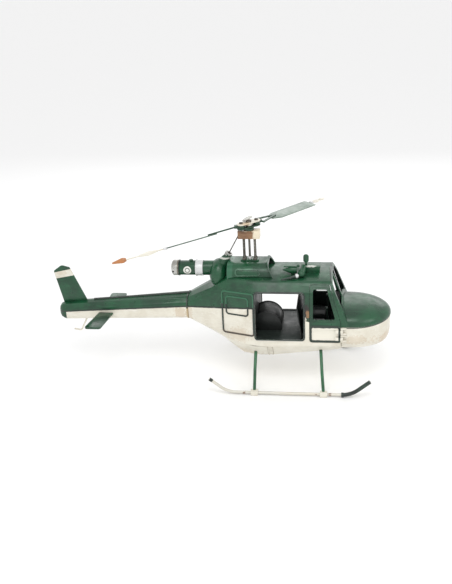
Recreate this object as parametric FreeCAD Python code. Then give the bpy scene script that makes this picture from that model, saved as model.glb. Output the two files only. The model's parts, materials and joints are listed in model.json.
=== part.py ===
"""Painted tin toy helicopter, one solid or group of solids for each sub-part, in millimetres.

+X points to the nose, +Y to the left side and +Z up. The sections are drawn round the cabin's
centre plane, and main() moves them so that the origin is under the right skid's rear saddle.
"""
import os
from math import atan2, cos, degrees, pi, radians, sin, sqrt, tan

import FreeCAD
import Part

# ---- tin shell -------------------------------------------------------------------------
WALL = 1.2                  # sheet of the cabin and the nose
BEAD_HEIGHT = 0.7           # raised outlines stand this far out of the sheet
BEAD_WIDTH = 1.7
HALF_WIDTH = 38.5           # cabin, outside
BELLY_HALF = 25.0           # flat strip of the belly
ROOF_CROWN = 127.5
ROOF_EDGE = (28.0, 124.0)   # half width and height where the roof turns down
EAVE = (36.0, 113.0)        # half width and height at the top of the walls
LEAN_START = 80.0           # walls are upright below this height
BELT = 95.5                 # colour line at the cabin opening
NOSE_BELT = 75.0            # colour line of the nose
CABIN_REAR = 4.0
TAPER_START = 42.7          # the sides narrow in a straight line from here to the boom
DOOR_FRONT = 135.0          # the nose starts here
NOSE_CENTRE = 144.0
NOSE_LENGTH = 45.0
NOSE_BOTTOM = 42.3          # under the door's front edge
NOSE_CREASE = 53.0
NOSE_TURN = 62.0            # the nose is upright above this height
DOME_HEIGHT = 16.5
BELLY_SPLIT = 50.0          # the belly pan ends here
CORNER_BELLY = 6.0
CORNER_CREASE = 4.0
CORNER_EAVE = 8.0
CORNER_ROOF = 6.0

# ---- openings ---------------------------------------------------------------------------
CABIN_OPENING = (TAPER_START, 94.7, 59.5, 113.0)   # rear, front, bottom, top
CABIN_CORNER = 2.5
DOOR_REAR = 101.0
DOOR_BOTTOM = 56.4
DOOR_TOP = 121.5
DOOR_KNEE = 80.0            # the front edge leans back above this height
DOOR_TOP_FRONT = 122.8
DOOR_GAP = 0.4
DOOR_CORNER = 3.0
WINDOW_REAR = 105.0
WINDOW_BOTTOM = 83.5
WINDOW_TOP = 117.3
WINDOW_FRONT_TOP = 120.2
WINDOW_FRONT_BOTTOM = 129.0
WINDOW_CORNER = 2.4
SCREEN_TOP = (123.5, 127.0)  # top of the windscreen's plane, X and Z
SCREEN_SLOPE = 0.40          # forward for each unit down
SCREEN_SHEET = 1.5
SCREEN_POST_HALF = 1.8
PANEL = (5.5, 40.6, 62.5, 111.5)            # embossed outline behind the cabin opening
PANEL_WINDOW = (10.0, 34.5, 85.5, 106.0)
PANEL_CORNER = 3.0
DOOR_PANEL = (102.6, 133.4, 58.2, 73.2)     # outline on the lower part of the door

# ---- door hinge -------------------------------------------------------------------------
HINGE_PIN_RADIUS = 0.7
HINGE_CLEARANCE = 0.05
HINGE_WALL = 0.65
HINGE_OUT = 1.5             # pin axis outside the wall
HINGE_AHEAD = 0.9           # pin axis ahead of the door's edge
HINGE_HEIGHTS = (60.6, 69.0)
HINGE_KNUCKLE = 3.6

# ---- inside -----------------------------------------------------------------------------
FLOOR_TOP = 58.6
FLOOR_SHEET = 1.2
INSIDE_GAP = 0.1
BULKHEAD_FRONT = 42.2
DRUM_X = 52.0
DRUM_Z = 63.5
DRUM_RADIUS = 17.0
DRUM_HALF = 14.0
DRUM_RIM = 1.2
PARTITION_FOOT = 92.0
PARTITION_HEAD = 87.0
PARTITION_TOP = 95.0
SEAT_Y = 17.0
SEAT_HALF = 11.5
SEAT_REAR = 96.5
SEAT_DEPTH = 21.0
SEAT_CUSHION = 11.0
SEAT_BACK_TOP = 99.0
SEAT_BACK = 4.5
STICK_X = 122.0
STICK_RADIUS = 0.9
STICK_TOP = 88.0
DASH_REAR = 127.5
DASH_FRONT = 133.5
DASH_TOP = 88.0
DASH_HALF = 28.0

# ---- cowling, fairing and exhaust ---------------------------------------------------------
COWL_REAR = 11.0
COWL_TOP = 137.5
COWL_HALF = 20.0
COWL_CORNER = 12.0
COWL_WALL = 1.6
INTAKE_TOP = 54.0
INTAKE_BOTTOM = 60.0
INTAKE_LIP = 1.4
INTAKE_DEPTH = 20.0
COWL_PANEL = (20.0, 47.0, 126.2, 134.0)
FAIRING_CENTRE = (0.0, 0.0, 121.5)
FAIRING_RADII = (11.0, 16.5, 16.5)
NECK_FOOT = (3.0, 0.0, 131.0)
NECK_TOP = (10.4, 0.0, 142.6)
NECK_RADII = (8.0, 3.4)
FUNNEL_RADIUS = 4.3
FUNNEL_HEIGHT = 3.6
FUNNEL_BORE = 2.4
EXHAUST_Z = 127.6
EXHAUST_RADIUS = 8.2
EXHAUST_FRONT = -9.0
EXHAUST_REAR = -43.8
RING_WIDTH = 1.2
RING_RADIUS = 9.0
CAP_LENGTH = 5.4
CAP_DOME = 3.6
CAP_RADIUS = 8.7
CAP_HOLE = 0.8
BAND = (-24.6, -17.4)
BAND_HEIGHT = 0.6
FLANGE_HEIGHT = 1.3
ROUNDEL_X = -34.5
ROUNDEL_RADIUS = 4.4
ROUNDEL_HEIGHT = 0.35
BUMP_X = -31.0

# ---- tail -------------------------------------------------------------------------------
BOOM_FRONT = -36.0
BOOM_REAR = -181.0
BOOM_HALF = 15.0            # outside, where the boom starts
BOOM_BELLY = 10.0
BOOM_EAVE = (14.2, 90.5)
BOOM_ROOF = (9.0, 95.5)
SEAM_FRONT = 86.4           # colour line where the boom starts
SEAM_REAR = 75.0
COLLAR_WIDTH = 1.4
COLLAR_HEIGHT = 0.5
END_CAP_LENGTH = 9.0
SPINE_RADIUS = 1.5
SPINE_FRONT = -33.0
SPINE_REAR = -148.0
FIN_SHEET = 1.8
FIN_ROOT = ((-183.4, 80.0), (-154.9, 83.0))
FIN_TOP = ((-191.8, 122.4), (-172.8, 126.8))
FIN_APEX = (-182.0, 129.4)
FIN_BAND_AT = (0.78, 0.955)  # shares of the fin's edges where the band starts and ends
FIN_CORNER = 4.0
STAB_Z = 74.5
STAB_SHEET = 1.8
STAB_ROOT = (-139.0, -122.5)
STAB_TIPS = {               # X of both corners and the half span, bent unevenly by hand
    "right": (-147.4, -129.0, 50.0),
    "left": (-139.8, -120.6, 43.5),
}
STAB_CORNER = 3.0
SKEG_RADIUS = 1.0
SKEG_POINTS = ((-160.0, 62.0), (-168.0, 47.0), (-176.5, 48.4))
TAIL_ROTOR_AT = (-176.0, 106.0)
TAIL_PIN_RADIUS = 0.8
TAIL_CLEARANCE = 0.05
TAIL_BOSS_RADIUS = 2.6
TAIL_BOSS_LENGTH = 1.5
TAIL_HUB_RADIUS = 2.3
TAIL_HUB_LENGTH = 2.4
TAIL_SIDE_GAP = 0.4
TAIL_BLADE_REACH = 18.5
TAIL_BLADE_CHORD = 4.6
TAIL_BLADE_SHEET = 1.0
TAIL_CAP_RADIUS = 1.6
TAIL_CAP_LENGTH = 1.0

# ---- skids ------------------------------------------------------------------------------
SKID_Y = 57.3
SKID_RADIUS = 1.65
SKID_Z = 2.7
SKID_REAR_TIP = (-8.5, 18.5)
SKID_REAR_BEND = 11.0
SKID_FRONT_BEND = 146.0
SKID_FRONT_TIP = (166.5, 19.8)
SKID_BEND_RADIUS = 28.0
TOE_START = 138.5
TOE_RADIUS = 2.15
TOE_COLLAR = 2.6
TOE_COLLAR_HEIGHT = 0.45
HEEL_LENGTH = 4.0
HEEL_RADIUS = 1.9
LEG_RADIUS = 1.75
LEG_REAR_X = (41.0, 41.0)    # top and bottom
LEG_FRONT_X = (112.6, 116.8)
LEG_TOP_Y = 24.0
LEG_KNEE = (44.0, 23.5)      # Y and Z of the outward bow
SADDLE = (8.0, 5.4, 5.8)     # length, width and height

# ---- mast and main rotor ------------------------------------------------------------------
MAST_X = 35.0
SHAFT_RADIUS = 1.25
SHAFT_CLEARANCE = 0.05
POST_RADIUS = 1.15
POST_SPACING = (6.0, 2.6)    # from the shaft, along and across
MAST_PLATE = (20.0, 9.0, 1.2)
SHAFT_FOOT = COWL_TOP + MAST_PLATE[2] + 0.6
NUT_RADIUS = 2.2
NUT_HEIGHT = 2.2
BEARING_RADIUS = 2.3
BLOCK = (24.0, 10.0, 9.0)
BLOCK_BOTTOM = 163.5
DISC_RADIUS = 5.5
DISC_THICKNESS = 2.0
DISC_NECK = 2.8
ROTATING_GAP = 0.6
HUB_PLATE = 1.2
HUB_PLATE_BOTTOM = 175.8
HUB_SPACER = 3.4
HUB_GAP = 3.6
HUB_END_RADIUS = 4.5
BOLT_CIRCLE = 10.0
BOLT_RADIUS = 1.2
BOLT_HEAD = 2.2
BOLT_HEAD_HEIGHT = 1.4
HUB_AZIMUTH = 41.0
LUG_THICKNESS = 3.0
LUG_RADIUS = 4.0
CROSSBAR = (5.4, 7.4, 6.5)   # near edge, far edge and half width
STRAP_END = 37.0
STRAP_WIDTH = 2.0
STRAP_THICKNESS = 1.5
BLADE_ROOT = 27.0
BLADE_ROOT_CHORD = 7.0
BLADE_SHOULDER = 40.0
BLADE_SHEET = 1.1
COLLAR_LENGTH = 4.0
LEAF_CHORD = 8.5
WIRE_RADIUS = 0.75
TIP_CHORD = 6.0
BLADE_REACH = 145.0          # from the bolt to the tip
BLADES = {                   # azimuth, droop, pitch, chord, end of the flat, leaf from and to, tip from,
    "near": (192.3, 12.6, 22.0, 13.0, 83.0, (93.5, 115.0), 129.0, -10.0, -60.0),  # pitch of leaf
    "far": (61.1, 5.5, 6.0, 16.0, 112.0, (117.5, 131.0), 133.0, 6.0, 6.0),        # and of tip
}
TOP_PLATE = (6.0, 4.4, 1.0)
TOP_PLATE_TILT = 24.0
TOP_PLATE_LIFT = 3.2
HUB_NUT = (3.0, 2.0)         # radius and height
STAY_RADIUS = 0.65

# ---- fittings on the roof -----------------------------------------------------------------
HORN_Y = -12.0
HORN_X = (71.6, 87.0)
HORN_RADIUS = 3.9
HORN_BAR = (73.0, 89.0)
BOX = (94.5, 111.5, -8.6, 1.5)
BOX_TOP = 132.2
LID = 1.0
PADDLE_AT = (96.5, -3.5)
PADDLE_RADIUS = 3.0
PADDLE_TOP = 145.5
PADDLE_SHEET = 1.6
ELBOW_RADIUS = 3.9
ELBOW_POINTS = ((93.4, -6.5, 131.2), (92.2, -18.0, 128.6))
PITOT_POINTS = ((70.5, -27.0, 125.4), (87.5, -22.5, 128.2))
PITOT_RADII = (0.5, 1.9)
PITOT_BALL = 2.3


# ---- plain geometry -----------------------------------------------------------------------
def vec(x, y, z):
    return FreeCAD.Vector(x, y, z)


def block(x0, x1, y0, y1, z0, z1):
    """Box between two corners."""
    return Part.makeBox(x1 - x0, y1 - y0, z1 - z0, vec(x0, y0, z0))


def rod(start, end, radius, end_radius=None):
    """Round bar, or a taper if an end radius is given."""
    axis = end - start
    if end_radius is None:
        return Part.makeCylinder(radius, axis.Length, start, axis)
    return Part.makeCone(radius, end_radius, axis.Length, start, axis)


def rounded_wire(points, radii):
    """Closed wire through the points, with its corners rounded."""
    count = len(points)
    corners = []
    for index, here in enumerate(points):
        back = (points[index - 1] - here).normalize()
        ahead = (points[(index + 1) % count] - here).normalize()
        radius = radii[index]
        if radius == 0:
            corners.append((here, None, here))
            continue
        half = back.getAngle(ahead) / 2
        reach = radius / tan(half)
        middle = here + (back + ahead).normalize() * (radius / sin(half) - radius)
        corners.append((here + back * reach, middle, here + ahead * reach))
    edges = []
    for index, (start, middle, end) in enumerate(corners):
        if middle is not None:
            edges.append(Part.Arc(start, middle, end).toShape())
        following = corners[(index + 1) % count][0]
        edges.append(Part.LineSegment(end, following).toShape())
    return Part.Wire(edges)


def side_face(points, radius):
    """Flat face in the XZ plane."""
    corners = [vec(x, 0, z) for x, z in points]
    return Part.Face(rounded_wire(corners, [radius] * len(corners)))


def through(face, y0, y1):
    """Face in the XZ plane, run from y0 to y1."""
    placed = face.copy()
    placed.translate(vec(0, y0, 0))
    return placed.extrude(vec(0, y1 - y0, 0))


def rectangle(edges, radius):
    """Rounded rectangle in the XZ plane from its rear, front, bottom and top."""
    x0, x1, z0, z1 = edges
    return side_face([(x0, z0), (x1, z0), (x1, z1), (x0, z1)], radius)


def ellipsoid(centre, radii):
    """Ball stretched along the three axes."""
    matrix = FreeCAD.Matrix()
    matrix.scale(*radii)
    ball = Part.makeSphere(1.0).transformGeometry(matrix)
    ball.translate(vec(*centre))
    return ball


def bent_rod(points, radius, bend):
    """Round bar along straight runs joined by tangent arcs."""
    edges = []
    start = points[0]
    for before, here, after in zip(points, points[1:], points[2:]):
        back = (before - here).normalize()
        ahead = (after - here).normalize()
        half = back.getAngle(ahead) / 2
        reach = bend / tan(half)
        middle = here + (back + ahead).normalize() * (bend / sin(half) - bend)
        edges.append(Part.LineSegment(start, here + back * reach).toShape())
        edges.append(Part.Arc(here + back * reach, middle, here + ahead * reach).toShape())
        start = here + ahead * reach
    edges.append(Part.LineSegment(start, points[-1]).toShape())
    profile = Part.Wire(Part.Circle(points[0], points[1] - points[0], radius).toShape())
    return Part.Wire(edges).makePipeShell([profile], True, False)


def hexagon(radius, height, base):
    """Six-sided nut or bolt head."""
    points = []
    for index in range(6):
        angle = pi / 3 * index
        points.append(base + vec(radius * cos(angle), radius * sin(angle), 0))
    return Part.Face(Part.makePolygon(points + points[:1])).extrude(vec(0, 0, height))


def flipped(shape):
    """The same shape on the other side."""
    return shape.mirror(vec(0, 0, 0), vec(0, 1, 0))


def less(shape, *others):
    """Shape with the others cut away."""
    for other in others:
        shape = shape.cut(other)
    return shape


def joined(*shapes):
    """One solid from touching shapes."""
    return shapes[0].multiFuse(list(shapes[1:])).removeSplitter()


def group(*shapes):
    """Separate solids in one node."""
    solids = []
    for shape in shapes:
        solids.extend(shape.Solids)
    return Part.makeCompound(solids)


# ---- shell of the fuselage -----------------------------------------------------------------
FAR = 300.0                 # longer than the object, for cutting


class Station:
    """Cross-section of the shell at one place along the object."""

    def __init__(self, x, half, bottom, belly, crease, lean, eave, roof, crown, corner):
        self.x = x
        self.half = half
        self.bottom = bottom
        self.belly = belly
        self.crease = crease
        self.lean = lean
        self.eave = eave
        self.roof = roof
        self.crown = crown
        self.corner = corner

    def wire(self, inset):
        """Closed outline, drawn in from the outer surface by inset."""
        side = [
            (self.belly - inset / 2, self.bottom + inset, CORNER_BELLY),
            (self.half - inset, self.crease + inset / 2, CORNER_CREASE),
            (self.half - inset, self.lean, 0),
            (self.eave[0] - inset, self.eave[1] - inset / 3, CORNER_EAVE),
            (self.roof[0] - inset / 2, self.roof[1] - inset, CORNER_ROOF),
        ]
        points = [vec(self.x, y, z) for y, z, _ in side]
        points.append(vec(self.x, 0, self.crown - inset))
        points.extend(vec(self.x, -y, z) for y, z, _ in reversed(side))
        radii = [radius * self.corner for _, _, radius in side]
        return rounded_wire(points, radii + [0] + radii[::-1])


def narrowed(x, rear, front):
    """Width at a place between the boom and the cabin's full section."""
    share = min(1.0, (x - BOOM_FRONT) / (TAPER_START - BOOM_FRONT))
    return rear + (front - rear) * share


def cabin_station(x, bottom, crease, roof_drop=0.0):
    """Station of the cabin, narrower behind the side openings."""
    half = narrowed(x, BOOM_HALF, HALF_WIDTH)
    belly = narrowed(x, BOOM_BELLY, BELLY_HALF)
    eave = (narrowed(x, BOOM_EAVE[0], EAVE[0]), EAVE[1] - roof_drop / 4)
    roof = (narrowed(x, BOOM_ROOF[0], ROOF_EDGE[0]), ROOF_EDGE[1] - roof_drop * 0.8)
    return Station(x, half, bottom, belly, crease, LEAN_START, eave, roof,
                   ROOF_CROWN - roof_drop, 1.0)


def cabin_stations():
    return [
        cabin_station(CABIN_REAR, 50.8, 59.0, 7.0),
        cabin_station(14.0, 42.5, 53.5),
        cabin_station(27.0, 33.4, BELLY_SPLIT),
        cabin_station(TAPER_START, 32.0, BELLY_SPLIT),
        cabin_station(62.0, 32.8, BELLY_SPLIT),
        cabin_station(122.0, 40.2, 52.0),
        cabin_station(DOOR_FRONT, NOSE_BOTTOM, NOSE_CREASE),
    ]


def boom_start():
    return Station(BOOM_FRONT, BOOM_HALF, 70.0, BOOM_BELLY, 74.5, 84.0, BOOM_EAVE, BOOM_ROOF,
                   97.0, 0.4)


def cone_stations():
    middle = Station(-8.0, narrowed(-8.0, BOOM_HALF, HALF_WIDTH), 57.5, 16.0, 64.0, 84.0,
                     (21.4, 104.0), (16.0, 109.8), 112.0, 0.7)
    return [boom_start(), middle, cabin_stations()[0]]


def boom_stations():
    rear = Station(BOOM_REAR, 8.6, 64.2, 5.8, 67.2, 74.0, (8.2, 77.5), (5.2, 82.9),
                   84.2, 0.28)
    return [rear, boom_start()]


def loft(stations, inset=0.0):
    """Solid through the stations, drawn in by inset."""
    return Part.makeLoft([station.wire(inset) for station in stations], True, True)


def shell(stations, wall):
    """Open-ended skin through the stations."""
    return loft(stations).cut(loft(stations, wall))


def cabin_prism(inset):
    """The cabin's upper section carried ahead of the windscreen."""
    front = cabin_station(NOSE_CENTRE + 10, NOSE_BOTTOM, NOSE_CREASE)
    return loft([cabin_stations()[-1], front], inset)


def screen_x(z):
    """X of the windscreen's outer plane at a height."""
    return SCREEN_TOP[0] + (SCREEN_TOP[1] - z) * SCREEN_SLOPE


def behind_screen(offset):
    """Everything behind the windscreen's plane, moved back by offset."""
    shift = offset * sqrt(1 + SCREEN_SLOPE ** 2)
    low, high = NOSE_BELT - 5, ROOF_CROWN + 20
    points = [(-FAR, low), (screen_x(low) - shift, low), (screen_x(high) - shift, high),
              (-FAR, high)]
    return through(side_face(points, 0), -FAR, FAR)


def below_line(x0, z0, x1, z1):
    """Everything below a sloping line seen from the side, between x0 and x1."""
    points = [(x0, -10), (x1, -10), (x1, z1), (x0, z0)]
    return through(side_face(points, 0), -FAR, FAR)


def dome(inset):
    """Rounded top of the nose."""
    radii = (NOSE_LENGTH - inset, HALF_WIDTH - inset, DOME_HEIGHT - inset)
    ball = ellipsoid((NOSE_CENTRE, 0, NOSE_BELT), radii)
    return ball.common(block(DOOR_FRONT, FAR, -FAR, FAR, NOSE_BELT, FAR))


def nose_section(x, inset):
    """Lower half of the nose at one place along it."""
    run = max(0.0, x - NOSE_CENTRE) / NOSE_LENGTH
    fullness = sqrt(1 - run ** 2)
    half = HALF_WIDTH * fullness - inset
    bottom = NOSE_TURN - (NOSE_TURN - NOSE_BOTTOM) * fullness ** 0.8 + inset
    crease = bottom + (NOSE_CREASE - NOSE_BOTTOM) * (0.5 + 0.5 * fullness)
    belly = BELLY_HALF / HALF_WIDTH * half
    corner = 2.0 + 6.0 * fullness if half > 2 * WALL else half
    points = [(belly, bottom), (half, crease), (half, NOSE_BELT),
              (-half, NOSE_BELT), (-half, crease), (-belly, bottom)]
    radii = [corner * 0.6, corner * 0.6, 0, 0, corner * 0.6, corner * 0.6]
    return rounded_wire([vec(x, y, z) for y, z in points], radii)


def nose_body(inset):
    """Lower half of the nose, drawn in by inset."""
    turns = [0, 18, 34, 48, 60, 70, 78, 84.5]
    places = [DOOR_FRONT]
    for turn in turns:
        places.append(NOSE_CENTRE + (NOSE_LENGTH - inset) * sin(radians(turn)))
    wires = []
    for place in places:
        outer_place = place
        if inset and place > NOSE_CENTRE:
            outer_place = NOSE_CENTRE + (place - NOSE_CENTRE) * NOSE_LENGTH / (NOSE_LENGTH - inset)
        wire = nose_section(outer_place, inset)
        wire.translate(vec(place - outer_place, 0, 0))
        wires.append(wire)
    return Part.makeLoft(wires, True, True)


def door_outline(margin):
    """Side view of the cockpit door, made smaller by margin."""
    lean = (DOOR_FRONT - DOOR_TOP_FRONT) / (DOOR_TOP - DOOR_KNEE)
    front = DOOR_FRONT - margin
    slant = margin * sqrt(1 + lean ** 2)
    top_front = DOOR_TOP_FRONT + lean * margin - slant
    points = [(DOOR_REAR + margin, DOOR_BOTTOM + margin), (front, DOOR_BOTTOM + margin),
              (front, DOOR_KNEE), (top_front, DOOR_TOP - margin),
              (DOOR_REAR + margin, DOOR_TOP - margin)]
    return side_face(points, DOOR_CORNER)


def window_outline():
    points = [(WINDOW_REAR, WINDOW_BOTTOM), (WINDOW_FRONT_BOTTOM, WINDOW_BOTTOM),
              (WINDOW_FRONT_TOP, WINDOW_TOP), (WINDOW_REAR, WINDOW_TOP)]
    return side_face(points, WINDOW_CORNER)


def cut_cabin():
    """Cabin skin with the side openings and the doorways cut on both sides."""
    skin = shell(cabin_stations(), WALL)
    opening = through(rectangle(CABIN_OPENING, CABIN_CORNER), -FAR, FAR)
    doorway = through(door_outline(0), -FAR, FAR)
    upper = block(-FAR, FAR, -FAR, FAR, NOSE_BELT, FAR)
    behind = behind_screen(SCREEN_SHEET)
    skin = less(skin, opening, doorway)
    return joined(skin.common(behind), skin.cut(upper))


def bead(outline, side):
    """Raised outline on the cabin's side, from a flat outline."""
    layer = loft(cabin_stations(), -BEAD_HEIGHT).cut(loft(cabin_stations()))
    ring = outline.makeOffset2D(BEAD_WIDTH / 2).cut(outline.makeOffset2D(-BEAD_WIDTH / 2))
    reach = (-FAR, 0) if side < 0 else (0, FAR)
    return layer.common(through(ring, *reach))


def fuselage_shell():
    """Skin of the cabin, the nose and the tail cone, cut into sheets."""
    parts = {}
    cabin = cut_cabin()
    rear, front, sill, _ = CABIN_OPENING
    parts["belly_pan"] = cabin.common(block(-FAR, FAR, -FAR, FAR, 0, BELLY_SPLIT))
    parts["roof_panel"] = cabin.common(block(-FAR, FAR, -FAR, FAR, EAVE[1], FAR))
    below = below_line(BOOM_FRONT, SEAM_FRONT, TAPER_START, BELT)
    behind = block(CABIN_REAR, rear, -FAR, 0, BELLY_SPLIT, EAVE[1])
    regions = {
        "rear_lower_panel": behind.common(below),
        "rear_upper_panel": behind.cut(below),
        "sill": block(rear, DOOR_FRONT, -FAR, 0, BELLY_SPLIT, sill),
        "door_post": block(front - CABIN_CORNER, DOOR_REAR + DOOR_CORNER, -FAR, 0, sill, EAVE[1]),
    }
    for name, region in regions.items():
        parts["right_" + name] = cabin.common(region)
    door_line = block(DOOR_REAR + 20, FAR, -FAR, 0, NOSE_BELT, EAVE[1])
    extension = cabin_prism(0).cut(cabin_prism(WALL)).common(behind_screen(SCREEN_SHEET))
    post = joined(cabin.common(door_line), extension.common(door_line))
    parts["right_screen_post"] = less(post, dome(0))
    for name in [key for key in parts if key.startswith("right_")]:
        parts[name.replace("right_", "left_")] = flipped(parts[name])
    parts["nose_lower"] = nose_body(0).cut(nose_body(WALL))
    parts["nose_cover"] = dome(0).cut(dome(WALL))
    cone = shell(cone_stations(), WALL)
    parts["tail_cone_lower"] = cone.common(below)
    parts["tail_cone_upper"] = cone.cut(below)
    return parts


def windscreen():
    """Open frame of the windscreen, with its centre post."""
    solid = joined(cabin_prism(0), loft(cabin_stations()[-2:]))
    slab = behind_screen(0).cut(behind_screen(SCREEN_SHEET))
    frame = less(solid.common(slab), dome(0))
    frame = frame.common(block(0, FAR, -FAR, FAR, NOSE_BELT, FAR))
    corners = [(SCREEN_POST_HALF, 95.5), (20.0, 94.2), (33.0, 88.6), (32.4, 112.0),
               (25.5, 120.5), (SCREEN_POST_HALF, 123.0)]
    pane = Part.Face(rounded_wire([vec(0, y, z) for y, z in corners], [1.5] * len(corners)))
    hole = pane.extrude(vec(FAR, 0, 0))
    frame = less(frame, hole, flipped(hole))
    return {"windscreen": frame}


def side_trim():
    """Raised outlines of the cabin openings and of the rear panels."""
    parts = {}
    layer_gap = BEAD_WIDTH / 2
    outlines = {
        "cabin_frame": rectangle(CABIN_OPENING, CABIN_CORNER).makeOffset2D(layer_gap),
        "panel_outline": rectangle(PANEL, PANEL_CORNER),
        "panel_window": rectangle(PANEL_WINDOW, PANEL_CORNER),
    }
    for name, outline in outlines.items():
        right = bead(outline, -1)
        parts["right_" + name] = right
        parts["left_" + name] = flipped(right)
    for side, word in ((-1, "right_"), (1, "left_")):
        panel_outline = parts[word + "panel_outline"]
        parts[word + "panel_outline"] = less(panel_outline, parts[word + "cabin_frame"])
    return parts


def doors():
    """Cockpit doors with their windows, outlines, knuckles and pins."""
    parts = {}
    skin = shell(cabin_stations(), WALL).common(through(door_outline(DOOR_GAP), -FAR, 0))
    leaf = less(skin, through(window_outline(), -FAR, 0))
    axis_y = -(HALF_WIDTH + HINGE_OUT)
    axis_x = DOOR_FRONT + HINGE_AHEAD
    outer = HINGE_PIN_RADIUS + HINGE_CLEARANCE + HINGE_WALL
    bore = HINGE_PIN_RADIUS + HINGE_CLEARANCE
    knuckles = []
    pins = []
    for height in HINGE_HEIGHTS:
        base = vec(axis_x, axis_y, height)
        top = base + vec(0, 0, HINGE_KNUCKLE)
        strap = block(DOOR_FRONT - 6, axis_x, axis_y - outer, -HALF_WIDTH, base.z, top.z)
        knuckle = less(joined(rod(base, top, outer), strap), rod(base, top, bore))
        knuckles.append(knuckle)
        ear = HINGE_KNUCKLE / 2
        pin = rod(base - vec(0, 0, ear), top + vec(0, 0, ear), HINGE_PIN_RADIUS)
        ears = []
        for ear_base in (base.z - ear - 0.3, top.z + 0.3):
            barrel = rod(vec(axis_x, axis_y, ear_base), vec(axis_x, axis_y, ear_base + ear), outer)
            foot = block(axis_x, axis_x + 5, axis_y, -HALF_WIDTH + WALL / 4, ear_base, ear_base + ear)
            ears.append(joined(barrel, foot))
        pins.append(less(joined(pin, *ears), nose_body(0)))
    window_bead = bead(window_outline().makeOffset2D(BEAD_WIDTH / 2), -1)
    panel_bead = bead(rectangle(DOOR_PANEL, PANEL_CORNER), -1)
    parts["right_cockpit_door"] = joined(leaf, window_bead, panel_bead, *knuckles)
    parts["right_door_hinge"] = group(*pins)
    for name in list(parts):
        parts[name.replace("right_", "left_")] = flipped(parts[name])
    return parts


def interior():
    """Floor, bulkhead, drum, partition, seats, dash and control sticks."""
    parts = {}
    room = loft(cabin_stations(), WALL + INSIDE_GAP)
    floor_bottom = FLOOR_TOP - FLOOR_SHEET
    floor = block(CABIN_REAR + 3, DOOR_FRONT - 1, -FAR, FAR, floor_bottom, FLOOR_TOP)
    parts["cabin_floor"] = room.common(floor)
    bulkhead = block(BULKHEAD_FRONT - 1.2, BULKHEAD_FRONT, -FAR, FAR, FLOOR_TOP, FAR)
    parts["rear_bulkhead"] = room.common(bulkhead)
    above = block(BULKHEAD_FRONT, FAR, -FAR, FAR, FLOOR_TOP, FAR)
    start = vec(DRUM_X, -DRUM_HALF, DRUM_Z)
    end = vec(DRUM_X, DRUM_HALF, DRUM_Z)
    drum = rod(start, end, DRUM_RADIUS)
    parts["drum_cover"] = drum.common(above)
    rims = []
    for y in (-DRUM_HALF - DRUM_RIM, DRUM_HALF):
        face = vec(DRUM_X, y, DRUM_Z)
        rims.append(rod(face, face + vec(0, DRUM_RIM, 0), DRUM_RADIUS + DRUM_RIM / 2))
    parts["drum_rims"] = group(*[rim.common(above) for rim in rims])
    sheet = [(PARTITION_FOOT, FLOOR_TOP), (PARTITION_FOOT + WALL, FLOOR_TOP),
             (PARTITION_HEAD + WALL, PARTITION_TOP), (PARTITION_HEAD, PARTITION_TOP)]
    half = EAVE[0] - WALL
    parts["front_partition"] = through(side_face(sheet, 0), -half, half)
    for side, word in ((-1, "right_"), (1, "left_")):
        parts[word + "seat"] = seat(side)
        foot = vec(STICK_X, side * SEAT_Y, FLOOR_TOP)
        top = vec(STICK_X - 3, side * SEAT_Y, STICK_TOP)
        parts[word + "stick"] = joined(rod(foot, top, STICK_RADIUS), Part.makeSphere(1.7, top))
    dash = side_face([(DASH_REAR, FLOOR_TOP), (DASH_FRONT, FLOOR_TOP), (DASH_FRONT, DASH_TOP),
                      (DASH_REAR, DASH_TOP)], 1.2)
    parts["dash"] = through(dash, -DASH_HALF, DASH_HALF)
    return parts


def seat(side):
    """Seat with an upright back, standing on the floor."""
    y0, y1 = side * SEAT_Y - SEAT_HALF, side * SEAT_Y + SEAT_HALF
    top = FLOOR_TOP + SEAT_CUSHION
    cushion = [(SEAT_REAR, FLOOR_TOP), (SEAT_REAR + SEAT_DEPTH, FLOOR_TOP),
               (SEAT_REAR + SEAT_DEPTH, top), (SEAT_REAR + SEAT_BACK, top),
               (SEAT_REAR + SEAT_BACK - 1.5, SEAT_BACK_TOP), (SEAT_REAR - 1.5, SEAT_BACK_TOP)]
    return through(side_face(cushion, 1.2), y0, y1)


# ---- cowling, fairing and exhaust ---------------------------------------------------------
def cowl_prism(inset):
    """Rounded housing run forward past the intake."""
    half = COWL_HALF - inset
    top = COWL_TOP - inset
    low = ROOF_EDGE[1] - 6
    points = [vec(0, half, low), vec(0, half, top), vec(0, -half, top), vec(0, -half, low)]
    corner = COWL_CORNER - inset
    face = Part.Face(rounded_wire(points, [0, corner, corner, 0]))
    return face.extrude(vec(INTAKE_BOTTOM + 20, 0, 0))


def intake_side(offset):
    """Everything behind the intake's sloping mouth, moved forward by offset."""
    drop = INTAKE_BOTTOM - INTAKE_TOP
    rise = COWL_TOP - ROOF_EDGE[1]
    high = (INTAKE_TOP - drop + offset, COWL_TOP + rise)
    low = (INTAKE_BOTTOM + drop + offset, ROOF_EDGE[1] - rise)
    points = [(COWL_REAR, low[1]), low, high, (COWL_REAR, high[1])]
    return through(side_face(points, 0), -FAR, FAR)


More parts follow.
